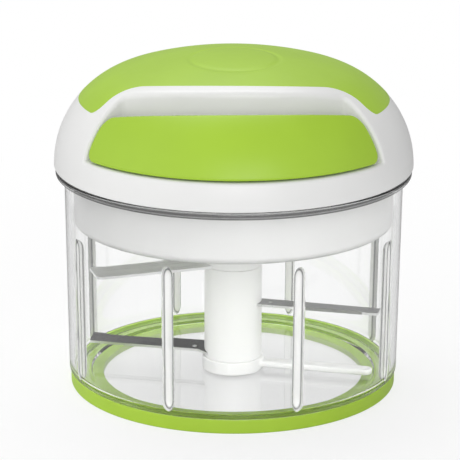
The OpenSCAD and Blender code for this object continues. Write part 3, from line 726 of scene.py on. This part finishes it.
# %% The bowl with its ribs
bowl_mesh = run_tree(
    round_bowl, rib_tree, clear_plastic,
    Count=RIB_COUNT, Width=RIB_W * MM, Depth=RIB_DEPTH * MM,
    Low=rib_low * MM, High=rib_high * MM, Wall=inner_r((rib_low + rib_high) / 2) * MM,
)
bowl_mesh.shade_smooth()
as_piece("bowl_clear", bowl_mesh, clear_plastic, "bowl", "clear_plastic", "bowl")

# %% [markdown]
# ## The foot ring
# A soft green ring grips the table. It is moulded onto the clear bowl, so its inner faces lie a hair
# inside the plastic: air there would mirror the room and wash out the green. Only under the bowl's
# corner a thin gap does mirror it, and draws a white crescent along the foot.

# %% Foot ring
RING_W = 12.9
MOULDED = 0.12
MOULDED_R = 57.5
AIR = 0.15
ring_corners = [
    (ring_r - RING_W, 0, 0.4),
    (ring_r, 0, 0.7),
    (ring_r, ring_h + MOULDED, 0.5),
    (ring_r - FOOT_LIP - MOULDED, ring_h + MOULDED, 0.2),
    (ring_r - FOOT_LIP - MOULDED, foot_z - AIR, 0.1),
    (MOULDED_R, foot_z - AIR, 0.05),
    (MOULDED_R, foot_z + MOULDED, 0.1),
    (ring_r - RING_W, foot_z + MOULDED, 0.4),
]
as_piece("foot_ring", turned(ring_corners), lit_ring_rubber, "bowl", "green_rubber", "base_ring")

# %% [markdown]
# ## The plug
# Under the dome a white plug hangs into the bowl. Through the clear wall it shows as a broad white
# band with a soft lower edge.

# %% Plug
PLUG_R = 62.5
PLUG_WALL = 2.0
PLUG_FLOOR = 2.2
PLUG_HOLE_R = 7.57
PLUG_STEPS = 200
plug_corners = [
    (PLUG_HOLE_R, plug_low[2], 0.2),
    (PLUG_R, plug_low[2], 2.9),
    (PLUG_R, rim_top + SEAT, 0.4),
    (plug_high[0], rim_top + SEAT, 0.3),
    (plug_high[0], plug_high[2], 0.3),
    (PLUG_R - PLUG_WALL, plug_high[2], 0.3),
    (PLUG_R - PLUG_WALL, plug_low[2] + PLUG_FLOOR, 1.0),
    (PLUG_HOLE_R, plug_low[2] + PLUG_FLOOR, 0.2),
]
# Its finish is the white plastic painted darker, a painted shade.
as_piece("lid_plug", turned(plug_corners, PLUG_STEPS), shaded_plug_white, "lid", "white_plastic", "lid_base")

# %% [markdown]
# ## Shapes with flowing edges
# The dome, its pocket and the pull handle are cut from one another with generous radii, and the
# radii run out into each other. Bevels on a Boolean would leave pinched corners. Instead each piece
# is written as a distance: negative inside, zero on the surface. Two distances join with a rounded
# edge in one line. The surface is then wrapped round the zero level on a grid, every point is slid
# onto it exactly, and the distance's slope gives the normals, so that highlights run smoothly.

# %% Distances with rounded edges
SLIDES = 5
LEAST_SLOPE = 0.05


def round_max(a, b, radius):
    """What two solids share, its edge rounded."""
    past = np.hypot(np.maximum(a + radius, 0), np.maximum(b + radius, 0))
    return np.minimum(np.maximum(a, b), -radius) + past


def round_min(a, b, radius):
    """Two solids joined, the corner between them filled."""
    return -round_max(-a, -b, radius)


def slope(field, points, step=0.02):
    steps = np.eye(points.shape[-1]) * step
    return np.stack([field(points + e) - field(points - e) for e in steps], axis=-1) / (2 * step)


def quads_between(solid, number):
    """The quads that part solid grid points from empty ones, wound outwards."""
    quads = []
    for axis in range(3):
        u, v = (axis + 1) % 3, (axis + 2) % 3
        s = np.moveaxis(solid, (axis, u, v), (0, 1, 2))
        n = np.moveaxis(number, (axis, u, v), (0, 1, 2))
        for leaving in (True, False):
            edge = (s[:-1] & ~s[1:]) if leaving else (~s[:-1] & s[1:])
            i, j, k = np.nonzero(edge[:, 1:-1, 1:-1])
            ring = [n[i, j, k], n[i, j + 1, k], n[i, j + 1, k + 1], n[i, j, k + 1]]
            quads.append(np.stack(ring if leaving else ring[::-1], axis=-1))
    return np.concatenate(quads)


def wrapped(field, axes):
    """A smooth closed mesh on the zero level of a distance, on a grid with the given axes."""
    grid = np.stack(np.meshgrid(*axes, indexing="ij"), axis=-1)
    value = field(grid)
    cells = np.array(value.shape) - 1
    total, count = np.zeros((*cells, 3)), np.zeros(cells)

    def part(array, shift):
        return array[tuple(slice(s, s + n) for s, n in zip(shift, cells))]

    for axis in range(3):
        for i in (0, 1):
            for j in (0, 1):
                first = np.insert([i, j], axis, 0)
                last = np.insert([i, j], axis, 1)
                a, b = part(value, first), part(value, last)
                crossed = (a < 0) != (b < 0)
                share = np.where(crossed, a / np.where(crossed, a - b, 1), 0)[..., None]
                where = part(grid, first) * (1 - share) + part(grid, last) * share
                total += np.where(crossed[..., None], where, 0)
                count += crossed
    live = count > 0
    number = np.full(cells, -1)
    number[live] = np.arange(live.sum())
    points = total[live] / count[live][:, None]
    reach = min(np.diff(axes[0]).min(), np.diff(axes[1]).min())
    for _ in range(SLIDES):
        g = slope(field, points)
        slide = field(points) / (g * g).sum(-1).clip(LEAST_SLOPE)
        points = points - g * np.clip(slide, -reach, reach)[:, None]
    mesh = as_mesh(points, quads_between(value < 0, number))
    mesh.normals_split_custom_set_from_vertices(unit(slope(field, points)).tolist())
    return mesh


print("distance helpers ready")

# %% Outline of the dome and of its pocket
dome_low, dome_high = box_mm("dome_cover")
dome_r, dome_z = dome_high[0], dome_low[2]
dome_top = box_mm("top_grip")[1][2]
DOME_SKIRT = 0.9
SHOULDER_R = 38.6
DOME_WALL = 3.0
POCKET_FLARE = math.radians(32.4)
POCKET_SWEEP = 80.0
POCKET_DEPTH = 28.5
HANDLE_SWEEP = 71.7
HANDLE_SHIFT = np.array([0.8, 0, 0])
HANDLE_DEPTH = 17.5

shoulder_x, shoulder_z = dome_r - SHOULDER_R, dome_z + DOME_SKIRT
rise = dome_top - shoulder_z
crown_r = (rise * rise + shoulder_x * shoulder_x - SHOULDER_R ** 2) / (2 * (rise - SHOULDER_R))
crown_z = dome_top - crown_r
tangent = math.atan2(shoulder_z - crown_z, shoulder_x)
pocket_c = POCKET_SWEEP - dome_r + POCKET_DEPTH
handle_c = HANDLE_SWEEP - dome_r + HANDLE_DEPTH
side_x = dome_r - POCKET_DEPTH
side_y = pocket_c - math.sqrt(POCKET_SWEEP ** 2 - side_x ** 2)
side_out = (math.sin(POCKET_FLARE), math.cos(POCKET_FLARE))


def from_axis(p):
    return np.hypot(p[..., 0], p[..., 1])


def from_dome(p):
    """Distance from the dome's outside."""
    r, z = from_axis(p), p[..., 2]
    shoulder = np.hypot(r - shoulder_x, z - shoulder_z) - SHOULDER_R
    crown = np.hypot(r, z - crown_z) - crown_r
    above = np.where(np.arctan2(z - crown_z, r) > tangent, crown, shoulder)
    return np.where(z < shoulder_z, r - dome_r, above)


def from_back(p, sweep, centre):
    """Distance in front of a swept back wall, seen from above."""
    return sweep - np.hypot(p[..., 0], p[..., 1] - centre)


def from_sides(p, shift):
    """Distance from the two flared side walls, seen from above."""
    return (np.abs(p[..., 0]) - side_x) * side_out[0] + (p[..., 1] - side_y) * side_out[1] - shift


print("dome crown radius", round(crown_r, 1), "pocket corner at", round(side_x, 1), round(side_y, 1))

# %% Outline of the grip
FRAME_W = 5.2
FRAME_CORNER = 8.0
GRIP_INSET = 9.6
EAR_R = 5.0


def grip_plan(p):
    """Distance from the grip's outline, seen from above."""
    pocket = round_max(from_back(p, POCKET_SWEEP - FRAME_W, pocket_c), from_sides(p, FRAME_W), FRAME_CORNER)
    return round_max(from_axis(p) - (dome_r - GRIP_INSET), -pocket, EAR_R)


print("grip", GRIP_INSET, "mm in from the dome's edge")

# %% [markdown]
# ## The dome
# The white dome is a thick shell. A pocket is cut into its front for the handle, with a broad round
# edge all along, and posts inside carry the cord drive. The grid is close near the lower edge and
# the pocket's floor, where the radii are small.

# %% Dome cover
POCKET_Z = 99.0
POCKET_WALL = 2.2
POCKET_EDGE = 1.6
POCKET_CORNER = 1.2
POCKET_FILLET = 0.8
FLOOR_EDGE = 1.0
EDGE_RISE = 5.0
LOWER_EDGE = 0.7
FLANGE_CUT = 0.6
FLANGE_R, FLANGE_TOP = dome_r - DOME_WALL + FLANGE_CUT, plug_high[2]
CORD_Z = (box_mm("cord_stop")[0][2] + box_mm("cord_stop")[1][2]) / 2
EYELET_R, EYELET_REACH = 3.0, 6.0
POST_R, POST_RING_R, POST_COUNT = 4.0, 29.0, 3
POST_Z = box_mm("spool_plate")[1][2]
SOCKET_R, SPOOL_GAP = 7.0, 1.0
SOCKET_Z = box_mm("cord_spool")[1][2] + SPOOL_GAP
WELL_DEPTH, WELL_INSET, WELL_Z = 0.7, 2.5, 110.0
STOP_X, STOP_W, STOP_DEPTH, STOP_H, STOP_GAP = 29.0, 6.0, 2.5, 5.0, 0.3
STOP_CORNER, STOP_EDGE = 0.8, 0.6
DOME_GRID, EDGE_GRID, FLOOR_GRID = 1.0, 0.28, 0.3


def fittings(p):
    """Posts and spring socket inside the dome."""
    x, y, z = p[..., 0], p[..., 1], p[..., 2]
    found = np.maximum(from_axis(p) - SOCKET_R, SOCKET_Z - z)
    for i in range(POST_COUNT):
        a = math.pi / 2 + math.tau * i / POST_COUNT
        post = np.hypot(x - POST_RING_R * math.cos(a), y - POST_RING_R * math.sin(a)) - POST_R
        found = np.minimum(found, np.maximum(post, POST_Z - z))
    return found


def stops(p):
    """Two stops on the pocket's floor, in its front half, that the handle comes home against."""
    outer = HANDLE_SWEEP - STOP_GAP - STOP_DEPTH / 2
    deep = np.abs(np.hypot(p[..., 0] + HANDLE_SHIFT[0], p[..., 1] - handle_c) - outer) - STOP_DEPTH / 2
    wide = np.abs(np.abs(p[..., 0]) - STOP_X) - STOP_W / 2
    tall = np.abs(p[..., 2] - POCKET_Z) - STOP_H
    return np.maximum(round_max(round_max(deep, wide, STOP_CORNER), tall, STOP_EDGE), p[..., 1])


def dome_shape(p):
    z = p[..., 2]
    outside = from_dome(p)
    plan = round_max(from_back(p, POCKET_SWEEP, pocket_c), from_sides(p, 0), POCKET_CORNER)
    shell = round_max(outside, dome_z - z, LOWER_EDGE)
    pocket = round_max(plan, POCKET_Z - z, POCKET_FILLET)
    up = np.clip((z - POCKET_Z) / EDGE_RISE, 0, 1)
    body = round_max(shell, -pocket, FLOOR_EDGE + (POCKET_EDGE - FLOOR_EDGE) * up * up * (3 - 2 * up))
    lining = np.maximum(plan - POCKET_WALL, POCKET_Z - POCKET_WALL - z)
    hollow = np.maximum(np.maximum(outside + DOME_WALL, -lining), -fittings(p))
    seat = np.maximum(from_axis(p) - FLANGE_R, z - FLANGE_TOP)
    bore = np.maximum(np.hypot(p[..., 0], z - CORD_Z) - EYELET_R, np.abs(p[..., 1] + side_x) - EYELET_REACH)
    well = np.maximum(np.maximum(grip_plan(p) + WELL_INSET, -outside - WELL_DEPTH), WELL_Z - z)
    for cut in (np.minimum(hollow, seat), bore, well):
        body = np.maximum(body, -cut)
    return np.minimum(body, stops(p))


flat = np.arange(-dome_r - 1.5, dome_r + 1.6, DOME_GRID)
heights = np.concatenate([
    np.arange(dome_z - 0.6, dome_z + 2.2, EDGE_GRID),
    np.arange(dome_z + 3, POCKET_Z - 1, DOME_GRID),
    np.arange(POCKET_Z - 0.9, POCKET_Z + 1.5, FLOOR_GRID),
    np.arange(POCKET_Z + 2.3, dome_top + 2, DOME_GRID),
])
dome_mesh = wrapped(dome_shape, (flat, flat, heights))
as_piece("dome_shell", dome_mesh, white_plastic, "lid", "white_plastic", "dome_cover")

# %% [markdown]
# ## The pull handle
# The handle is a shell that continues the dome's surface, flush with it all round. Its lower corners
# are well rounded, while its top edge is crisp. It is hollow from behind, where a plate closes it.

# %% Pull handle
handle_low, handle_high = box_mm("pull_handle")
HANDLE_GAP = 1.5
HANDLE_WALL = 2.6
HANDLE_CORNER = 4.0
TOP_EDGE = 1.1
OPENING = 1.0
HANDLE_GRID = 0.55


def handle_shape(p):
    q = p + HANDLE_SHIFT
    low = handle_low[2] - p[..., 2]
    sides = from_sides(q, -HANDLE_GAP)
    back = from_back(q, HANDLE_SWEEP, handle_c)
    outside = from_dome(p)
    ends = round_max(sides, low, HANDLE_CORNER)
    plan = round_max(ends, back, HANDLE_CORNER)
    block = round_max(plan, outside, TOP_EDGE)
    room = np.maximum(np.maximum(outside, sides), low) + HANDLE_WALL
    return np.maximum(block, -np.maximum(room, back - OPENING))


handle_axes = [np.arange(a - 1.2, b + 1.7, HANDLE_GRID) for a, b in zip(handle_low, handle_high)]
handle_mesh = wrapped(handle_shape, handle_axes)
as_piece("handle_shell", handle_mesh, green_plastic, "handle", "green_plastic", "pull_handle")

# %% [markdown]
# ## The grip
# A soft green pad lies in the dome, flush with it, round the pocket's white frame and down to an ear
# on each side. Its outline matters most, so the mesh follows it: points are spaced along the outline,
# rings run inwards from there, and the rim is rolled down into the seam. A plain shallow ring marks
# the place for the palm.

# %% Points along the grip's outline
GRIP_POINTS = 560
GRIP_CENTRE = np.array([0.0, 20.0])
FARTHEST, COARSE, HALVINGS = 90.0, 0.5, 30
FINE_RAYS = 7200


def edge_along(angles):
    """Where rays from the grip's centre leave its outline."""
    rays = np.stack([np.cos(angles), np.sin(angles)], axis=-1)
    far = np.full(len(angles), FARTHEST)
    for reach in np.arange(COARSE, FARTHEST, COARSE):
        out = grip_plan(GRIP_CENTRE + rays * reach) > 0
        far = np.where(out & (far == FARTHEST), reach, far)
    near = far - COARSE
    for _ in range(HALVINGS):
        middle = (near + far) / 2
        out = grip_plan(GRIP_CENTRE + rays * middle[:, None]) > 0
        near, far = np.where(out, near, middle), np.where(out, middle, far)
    return GRIP_CENTRE + rays * far[:, None]


fine = np.linspace(-math.pi, math.pi, FINE_RAYS, endpoint=False)
fine_edge = edge_along(fine)
steps = np.linalg.norm(np.diff(fine_edge, axis=0, append=fine_edge[:1]), axis=1)
run = np.concatenate([[0], np.cumsum(steps)])
even = np.interp(np.linspace(0, run[-1], GRIP_POINTS, endpoint=False), run, np.append(fine, math.pi))
edge = edge_along(even)
print("grip outline", round(run[-1]), "mm round")

# %% Grip
GRIP_T = 1.3
GRIP_PROUD = 0.12
PALM_RING_R, PALM_RING_W, PALM_RING_DEPTH = 17.0, 1.1, 0.35
PALM_AT = np.array([0.0, -6.0])
ROLL_R, ROLL_MARGIN = 0.5, 0.3
TOP_RINGS = 63


def dome_height(q, inset=0.0):
    r = from_axis(q)
    on_crown = crown_z + np.sqrt((crown_r - inset) ** 2 - np.minimum(r, crown_r / 2) ** 2)
    on_shoulder = shoulder_z + np.sqrt(np.maximum((SHOULDER_R - inset) ** 2 - (r - shoulder_x) ** 2, 0))
    return np.where(r * math.tan(tangent) < on_crown - crown_z, on_crown, on_shoulder)


def grip_top(q):
    ring = (np.linalg.norm(q - PALM_AT, axis=-1) - PALM_RING_R) / PALM_RING_W
    return dome_height(q) + GRIP_PROUD - PALM_RING_DEPTH * np.exp(-ring * ring)


def grip_under(q):
    return dome_height(q, GRIP_T)


across = unit(slope(grip_plan, edge, step=0.05))
inside = edge - across * (ROLL_R + ROLL_MARGIN)
rings = []
for share in np.linspace(0, 1, TOP_RINGS + 1)[1:]:
    plan = GRIP_CENTRE + (inside - GRIP_CENTRE) * share
    rings.append(np.column_stack([plan, grip_top(plan)]))
for a in np.radians([0, 18, 36, 54, 72, 90]):
    plan = edge - across * ROLL_R * (1 - math.sin(a))
    rings.append(np.column_stack([plan, grip_top(plan) - ROLL_R * (1 - math.cos(a))]))
for share in (1, 0.75, 0.5, 0.25):
    plan = GRIP_CENTRE + (edge - GRIP_CENTRE) * share
    rings.append(np.column_stack([plan, grip_under(plan)]))
top, under = ((*GRIP_CENTRE, height(GRIP_CENTRE[None])[0]) for height in (grip_top, grip_under))
points = np.vstack([top, *rings, under])
last = 1 + (len(rings) - 1) * GRIP_POINTS
faces = bands(len(rings), GRIP_POINTS, start=1)
for k in range(GRIP_POINTS):
    m = (k + 1) % GRIP_POINTS
    faces += [(0, 1 + k, 1 + m), (last + k, len(points) - 1, last + m)]
as_piece("palm_grip", as_mesh(points, faces), green_rubber, "lid", "green_rubber", "top_grip")

# %% [markdown]
# ## The blade column
# A white column stands on the bowl's pin: a collar with a scraper arm, a tube and a socket for the
# lid's hexagon. Collar and arm are one moulding with a fillet between them, so they are wrapped from
# a distance as the dome is. Tube and socket are turned; the socket's bore is a hexagon.

# %% Collar with its arm
# Collar, tube and socket take the white painted lighter, a painted light.
shaft_low, shaft_high = box_mm("blade_shaft")
COLLAR_R = 12.05
COLLAR_LOW, COLLAR_TOP = box_mm("base_collar")[0][2], shaft_low[2]
COLLAR_BORE = 4.8
COLLAR_EDGE, ARM_EDGE, ARM_FILLET = 0.5, 0.9, 1.2
ARM_ANGLE = math.radians(346.5)
ARM_REACH, ARM_W, ARM_H, ARM_LIFT = 56.2, 5.6, 2.5, 1.5
PAST_ARM_Y = -16.5
COLLAR_GRID, COLLAR_GRID_Z = 0.5, 0.3


def collar_shape(p):
    x, y, z = p[..., 0], p[..., 1], p[..., 2]
    radius = from_axis(p)
    high = np.abs(z - (COLLAR_LOW + COLLAR_TOP) / 2) - (COLLAR_TOP - COLLAR_LOW) / 2
    collar = round_max(radius - COLLAR_R, high, COLLAR_EDGE)
    along = x * math.cos(ARM_ANGLE) + y * math.sin(ARM_ANGLE)
    beside = y * math.cos(ARM_ANGLE) - x * math.sin(ARM_ANGLE)
    plan = np.hypot(beside, along - np.clip(along, 0, ARM_REACH - ARM_W / 2)) - ARM_W / 2
    tall = np.abs(z - COLLAR_LOW - ARM_LIFT - ARM_H / 2) - ARM_H / 2
    arm = round_max(plan, tall, ARM_EDGE)
    return np.maximum(round_min(collar, arm, ARM_FILLET), COLLAR_BORE - radius)


collar_axes = [
    np.arange(-COLLAR_R - 1, ARM_REACH + 1, COLLAR_GRID),
    np.arange(PAST_ARM_Y, COLLAR_R + 1, COLLAR_GRID),
    np.arange(COLLAR_LOW - 0.5, COLLAR_TOP + 0.6, COLLAR_GRID_Z),
]
collar_mesh = wrapped(collar_shape, collar_axes)
as_piece("collar_and_arm", collar_mesh, lit_column_white, "blades", "white_plastic", "base_collar")

# %% Tube
SHAFT_R = shaft_high[0]
SHAFT_WALL = 2.2
TUBE_STEPS = 128
LOWER_SEAM, UPPER_SEAM = 0.03, 0.05
tube_corners = [
    (SHAFT_R - SHAFT_WALL, shaft_low[2] + LOWER_SEAM, 0.2),
    (SHAFT_R, shaft_low[2] + LOWER_SEAM, 0.35),
    (SHAFT_R, shaft_high[2] - UPPER_SEAM, 0.3),
    (SHAFT_R - SHAFT_WALL, shaft_high[2] - UPPER_SEAM, 0.2),
]
tube_mesh = turned(tube_corners, TUBE_STEPS)
as_piece("column_tube", tube_mesh, lit_column_white, "blades", "white_plastic", "blade_shaft")

# %% Socket
SOCKET_TOP = box_mm("drive_socket")[1][2]
SOCKET_FLAT = 4.65
BORE_BAND = 0.4
HEX_FLOOR = 50.8
HEX_STEPS = 120
HEX_SHARP = math.radians(40)
socket_outline = rounded([
    (SOCKET_FLAT, SOCKET_TOP, 0.3),
    (SOCKET_FLAT, HEX_FLOOR, 0),
    (0, HEX_FLOOR, 0),
    (0, shaft_high[2] + UPPER_SEAM, 0),
    (SHAFT_R, shaft_high[2] + UPPER_SEAM, 0.3),
    (SHAFT_R, SOCKET_TOP, 0.6),
])
points, faces = swept(socket_outline, even_angles(HEX_STEPS))
points = np.array(points)
bore = from_axis(points) < SOCKET_FLAT + BORE_BAND
around = np.arctan2(points[:, 1], points[:, 0])
to_flat = np.cos((around + math.pi / 6) % (math.pi / 3) - math.pi / 6)
points[bore, :2] /= to_flat[bore, None]
socket_mesh = closed(as_mesh(points, faces))
socket_mesh.set_sharp_from_angle(angle=HEX_SHARP)
as_piece("column_socket", socket_mesh, lit_column_white, "blades", "white_plastic", "drive_socket")

# %% [markdown]
# ## The blades
# Three steel blades are pressed into the column at different heights and directions. Each is cut
# from sheet, with a ground edge along the side that leads, and a rivet hole near the column. An
# outline with rounded corners is drawn from above; a second outline, drawn in along the ground edge,
# makes the bevel. The faces with the hole are filled by triangulation.

# %% Blade maker
BLADE_T = 1.0
BLADE_BEVEL = 1.0
BLADE_STEP, CORNER_STEPS = 1.5, 40
BLADE_SHARP = math.radians(22)
GROUND_FROM, GROUND_TO, GROUND_SIDE = 25, 54, -1.5
FIRST_RAMP, LAST_RAMP = 4, 3
HOLE_R = 0.9
HOLE_AT = 15.1
HOLE_STEPS = 24
HOLE_INSIDE = 0.985


def filled(outline, hole):
    """Triangles inside an outline, round a hole if there is one."""
    joined = np.concatenate([outline, hole])
    n, h = len(outline), len(hole)
    sides = [(i, (i + 1) % n) for i in range(n)] + [(n + i, n + (i + 1) % h) for i in range(h)]
    made = delaunay_2d_cdt([Vector(p) for p in joined], sides, [], 1, 1e-6)
    faces = [[made[3][v][0] for v in face] for face in made[2]]
    if h:
        # Triangles whose middle lies in the hole, a hair inside its straight sides, are left out.
        middle, inside = hole.mean(0), HOLE_R * HOLE_INSIDE
        faces = [f for f in faces if np.linalg.norm(joined[f].mean(0) - middle) > inside]
    return faces


def divided(outline, step):
    """The outline with points added along its long sides."""
    points = []
    for here, after in zip(outline, np.roll(outline, -1, axis=0)):
        count = max(1, round(np.linalg.norm(after - here) / step))
        points += [here + (after - here) * k / count for k in range(count)]
    return np.array(points)


def leading_edge(outline):
    """1 along the ground edge and 0 elsewhere, with a ramp at both ends."""
    x, y = outline.T
    begun = np.clip((x - GROUND_FROM) / FIRST_RAMP, 0, 1)
    return (y < GROUND_SIDE) * begun * np.clip((GROUND_TO - x) / LAST_RAMP, 0, 1)


def blade_mesh(corners, hole_side, height, angle, pitch):
    """A blade: its rounded outline, the bevel of its ground edge, its hole and its tilt about its length."""
    outline = divided(rounded(corners, CORNER_STEPS), BLADE_STEP)
    if np.sum(np.cross(outline, np.roll(outline, -1, axis=0))) < 0:
        outline = outline[::-1]
    ahead = np.roll(outline, -1, axis=0) - np.roll(outline, 1, axis=0)
    inward = unit(np.column_stack([-ahead[:, 1], ahead[:, 0]]))
    upper = outline + inward * (BLADE_BEVEL * leading_edge(outline))[:, None]
    lap = np.linspace(0, math.tau, 0 if hole_side is None else HOLE_STEPS, endpoint=False)
    hole = np.column_stack([HOLE_AT + HOLE_R * np.cos(lap), (hole_side or 0) + HOLE_R * np.sin(lap)])
    n, h = len(outline), len(hole)
    layers = [(outline, -BLADE_T / 2), (hole, -BLADE_T / 2), (upper, BLADE_T / 2), (hole, BLADE_T / 2)]
    points = np.concatenate([np.column_stack([p, np.full(len(p), z)]) for p, z in layers])
    top = n + h
    faces = [f[::-1] for f in filled(outline, hole)] + [[v + top for v in f] for f in filled(upper, hole)]
    for start, count, flip in ((0, n, 1), (n, h, -1)):
        for i in range(count):
            a, b = start + i, start + (i + 1) % count
            faces.append([a, b, b + top, a + top][::flip])
    points[:, 2] += points[:, 1] * math.sin(pitch) + height
    turn = np.array([[math.cos(angle), math.sin(angle)], [-math.sin(angle), math.cos(angle)]])
    points[:, :2] = points[:, :2] @ turn
    mesh = as_mesh(points, faces)
    mesh.set_sharp_from_angle(angle=BLADE_SHARP)
    return mesh


print("blade maker ready")

# %% Three blades
ROOT_R = 6.0
NECK = 12.35
BLADE_GLOSS = 0.3
EDGE_TONE = 0.8
# The three blades are the same steel. Their tones differ only as painted light and shade: the upper blade's
# near-white tone is painted light, the middle and lower blades' dark tones are painted shade.
BLADES = {
    "upper_blade": {
        "angle": 200.8, "pitch": -4, "tone": 0.95, "hole": None,
        "corners": [(ROOT_R, -1, 0), (NECK, -1, 1.5), (22, -8, 2), (56.6, -8.4, 0.4), (56.6, 3.2, 2),
                    (NECK, 4.1, 0.5), (ROOT_R, 4.1, 0)],
    },
    "middle_blade": {
        "angle": 345.2, "pitch": 0, "tone": 0.34, "hole": 0.0,
        "corners": [(ROOT_R, -3.8, 0), (NECK, -3.8, 0.5), (58.6, -2.8, 1.2), (58.6, 3.8, 0.3),
                    (ROOT_R, 3.8, 0)],
    },
    "lower_blade": {
        "angle": 169.0, "pitch": -9, "tone": 0.05, "hole": 2.2,
        "corners": [(ROOT_R, -3.2, 0), (NECK, -3.2, 0.5), (58.4, -3.4, 0.3), (58.4, 3.7, 0.6),
                    (13.2, 4.6, 0.5), (ROOT_R, 9.0, 0)],
    },
}

for name, blade in BLADES.items():
    low, high = box_mm(name)
    angle, pitch = math.radians(blade["angle"]), math.radians(blade["pitch"])
    # Each blade's tone paints its light or shade into the steel's colour.
    finish = ground_steel(name, grey(blade["tone"]), BLADE_GLOSS, turn=angle, edge=EDGE_TONE)
    mesh = blade_mesh(blade["corners"], blade["hole"], (low[2] + high[2]) / 2, angle, pitch)
    as_piece(name + "_ground", mesh, finish, "blades", "blade_steel", name)

# %% [markdown]
# ## The cord and its spring
# Inside the lid, the cord lies in turns on the drum and runs through an eyelet to the handle. A
# spiral of flat spring steel winds it back. Turns and spring are sections swept along a spiral, so
# one Geometry Nodes tree makes both: a straight line is bent into a spiral by its own factor, and a
# section is drawn along it.

# %% Spiral tree
spiral_tree, nodes, take = tree_with(
    "spiral", Points=200, Turns=3, Start=0.0, First=0.01, Last=0.01, Low=0.1, High=0.1,
    Wide=0.002, Tall=0.002, Round=1)
strand = nodes.add("GeometryNodeResampleCurve", inputs={
    "Curve": nodes.add("GeometryNodeCurvePrimitiveLine"), "Count": take["Points"]})
share = nodes.add("GeometryNodeSplineParameter", output="Factor")
turn = take["Start"] + share * take["Turns"] * math.tau
reach = take["First"] + share * (take["Last"] - take["First"])
spot = nodes.add("ShaderNodeCombineXYZ", inputs={
    "X": reach * turn.math("COSINE", turn),
    "Y": reach * turn.math("SINE", turn),
    "Z": take["Low"] + share * (take["High"] - take["Low"]),
})
bent = nodes.add("GeometryNodeSetPosition", inputs={"Geometry": strand, "Position": spot})
bent = nodes.add("GeometryNodeSetCurveNormal", {"mode": "Z_UP"}, {"Curve": bent})
loop = nodes.add("GeometryNodeCurvePrimitiveCircle", inputs={"Resolution": 10, "Radius": take["Wide"] / 2})
strip = nodes.add("GeometryNodeCurvePrimitiveQuadrilateral", inputs={
    "Width": take["Wide"], "Height": take["Tall"]})
shape = nodes.add("GeometryNodeSwitch", {"input_type": "GEOMETRY"}, {
    "Switch": take["Round"].math("GREATER_THAN", take["Round"], 0.5), "False": strip, "True": loop})
tube = nodes.add("GeometryNodeCurveToMesh", inputs={
    "Curve": bent, "Profile Curve": shape, "Fill Caps": True})
close_tree(nodes, tube, take["Finish"])
print("spiral tree of", len(spiral_tree.nodes), "nodes")

# %% Turns of cord and recoil spring
CORD_D = 1.8
CORD_TURNS = 2.7
WIND_R = 17.55
WIND_DROP, WIND_LAG = 0.3, 0.02
BEND_Y = -37.4
SPRING_TURNS, SPRING_T = 5, 0.4
SPRING_R = (4.5, 13.7)
leave = -math.pi / 2 - math.acos(WIND_R / -BEND_Y)
drum_z = box_mm("cord_winding")[0][2]
cord_turns = run_tree(
    bpy.data.meshes.new("empty"), spiral_tree, cord_nylon, Points=220, Turns=-CORD_TURNS,
    Start=leave - WIND_LAG, First=WIND_R * MM, Last=WIND_R * MM,
    Low=(CORD_Z - WIND_DROP) * MM, High=(drum_z + CORD_D / 2 + SEAT) * MM,
    Wide=CORD_D * MM, Tall=CORD_D * MM, Round=1)
cord_turns.shade_smooth()
as_piece("cord_turns", cord_turns, cord_nylon, "spool", "cord", "cord_winding")

spring_low, spring_high = box_mm("recoil_spring")
spring_z = (spring_low[2] + spring_high[2]) / 2
spring = run_tree(
    bpy.data.meshes.new("empty"), spiral_tree, steel, Points=260, Turns=SPRING_TURNS, Start=0,
    First=SPRING_R[0] * MM, Last=SPRING_R[1] * MM, Low=spring_z * MM, High=spring_z * MM,
    Wide=SPRING_T * MM, Tall=(spring_high[2] - spring_low[2]) * MM, Round=0)
as_piece("spring_strip", spring, steel, "lid", "steel", "recoil_spring")

# %% Run of cord to the handle
BEND_R = 2.5
CORD_SIDES = 12
STRAIGHT_RINGS, BEND_RINGS, RUN_RINGS = 24, 10, 91
ferrule_y = box_mm("cord_stop")[1][1]
off_drum = np.array([WIND_R * math.cos(leave), WIND_R * math.sin(leave)])
bend = np.array([0.0, BEND_Y])
straight = 1 - BEND_R / np.linalg.norm(bend - off_drum)
line = [off_drum + (bend - off_drum) * s for s in np.linspace(0, straight, STRAIGHT_RINGS)]
arrive, depart = line[-1], bend + np.array([0, -BEND_R])
for s in np.linspace(0.1, 1, BEND_RINGS):
    line.append(arrive * (1 - s) ** 2 + bend * 2 * s * (1 - s) + depart * s * s)
line += [np.array([0.0, y]) for y in np.linspace(depart[1], ferrule_y, RUN_RINGS)[1:]]
ahead = unit(np.gradient(np.array(line), axis=0))
points = []
for p, d in zip(line, ahead):
    for a in even_angles(CORD_SIDES):
        side = np.array([-d[1], d[0]]) * math.cos(a) * CORD_D / 2
        points.append((*(p + side), CORD_Z + math.sin(a) * CORD_D / 2))
faces = bands(len(line), CORD_SIDES)
faces += [range(CORD_SIDES), range(len(points) - 1, len(points) - 1 - CORD_SIDES, -1)]
cord_run = add_object("cord_run", closed(as_mesh(points, faces)))
cord_run.data.materials.append(cord_nylon)
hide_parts("pull_cord")
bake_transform(cord_run)
print("cord run of", len(line), "rings")

# %% [markdown]
# ## What stays as the CAD made it
# The drive inside the lid and the pin under the column hardly show, and their shapes are right. They
# keep their CAD solids and only take finishes.

# %% Finishes of the CAD nodes
KEPT = [
    (steel, ("pivot_pin", "cord_guide", "plate_screws", "spool_screw", "cord_stop")),
    (bronze, ("shaft_bush",)),
    (grey_plastic, ("drive_bush", "spool_plate", "spring_arbor", "cord_spool", "drive_shaft")),
    (white_plastic, ("handle_plate",)),
]
for finish, kept in KEPT:
    for node in kept:
        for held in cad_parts[node].material_slots:
            held.material = finish
    print(finish.name, "on", ", ".join(kept))
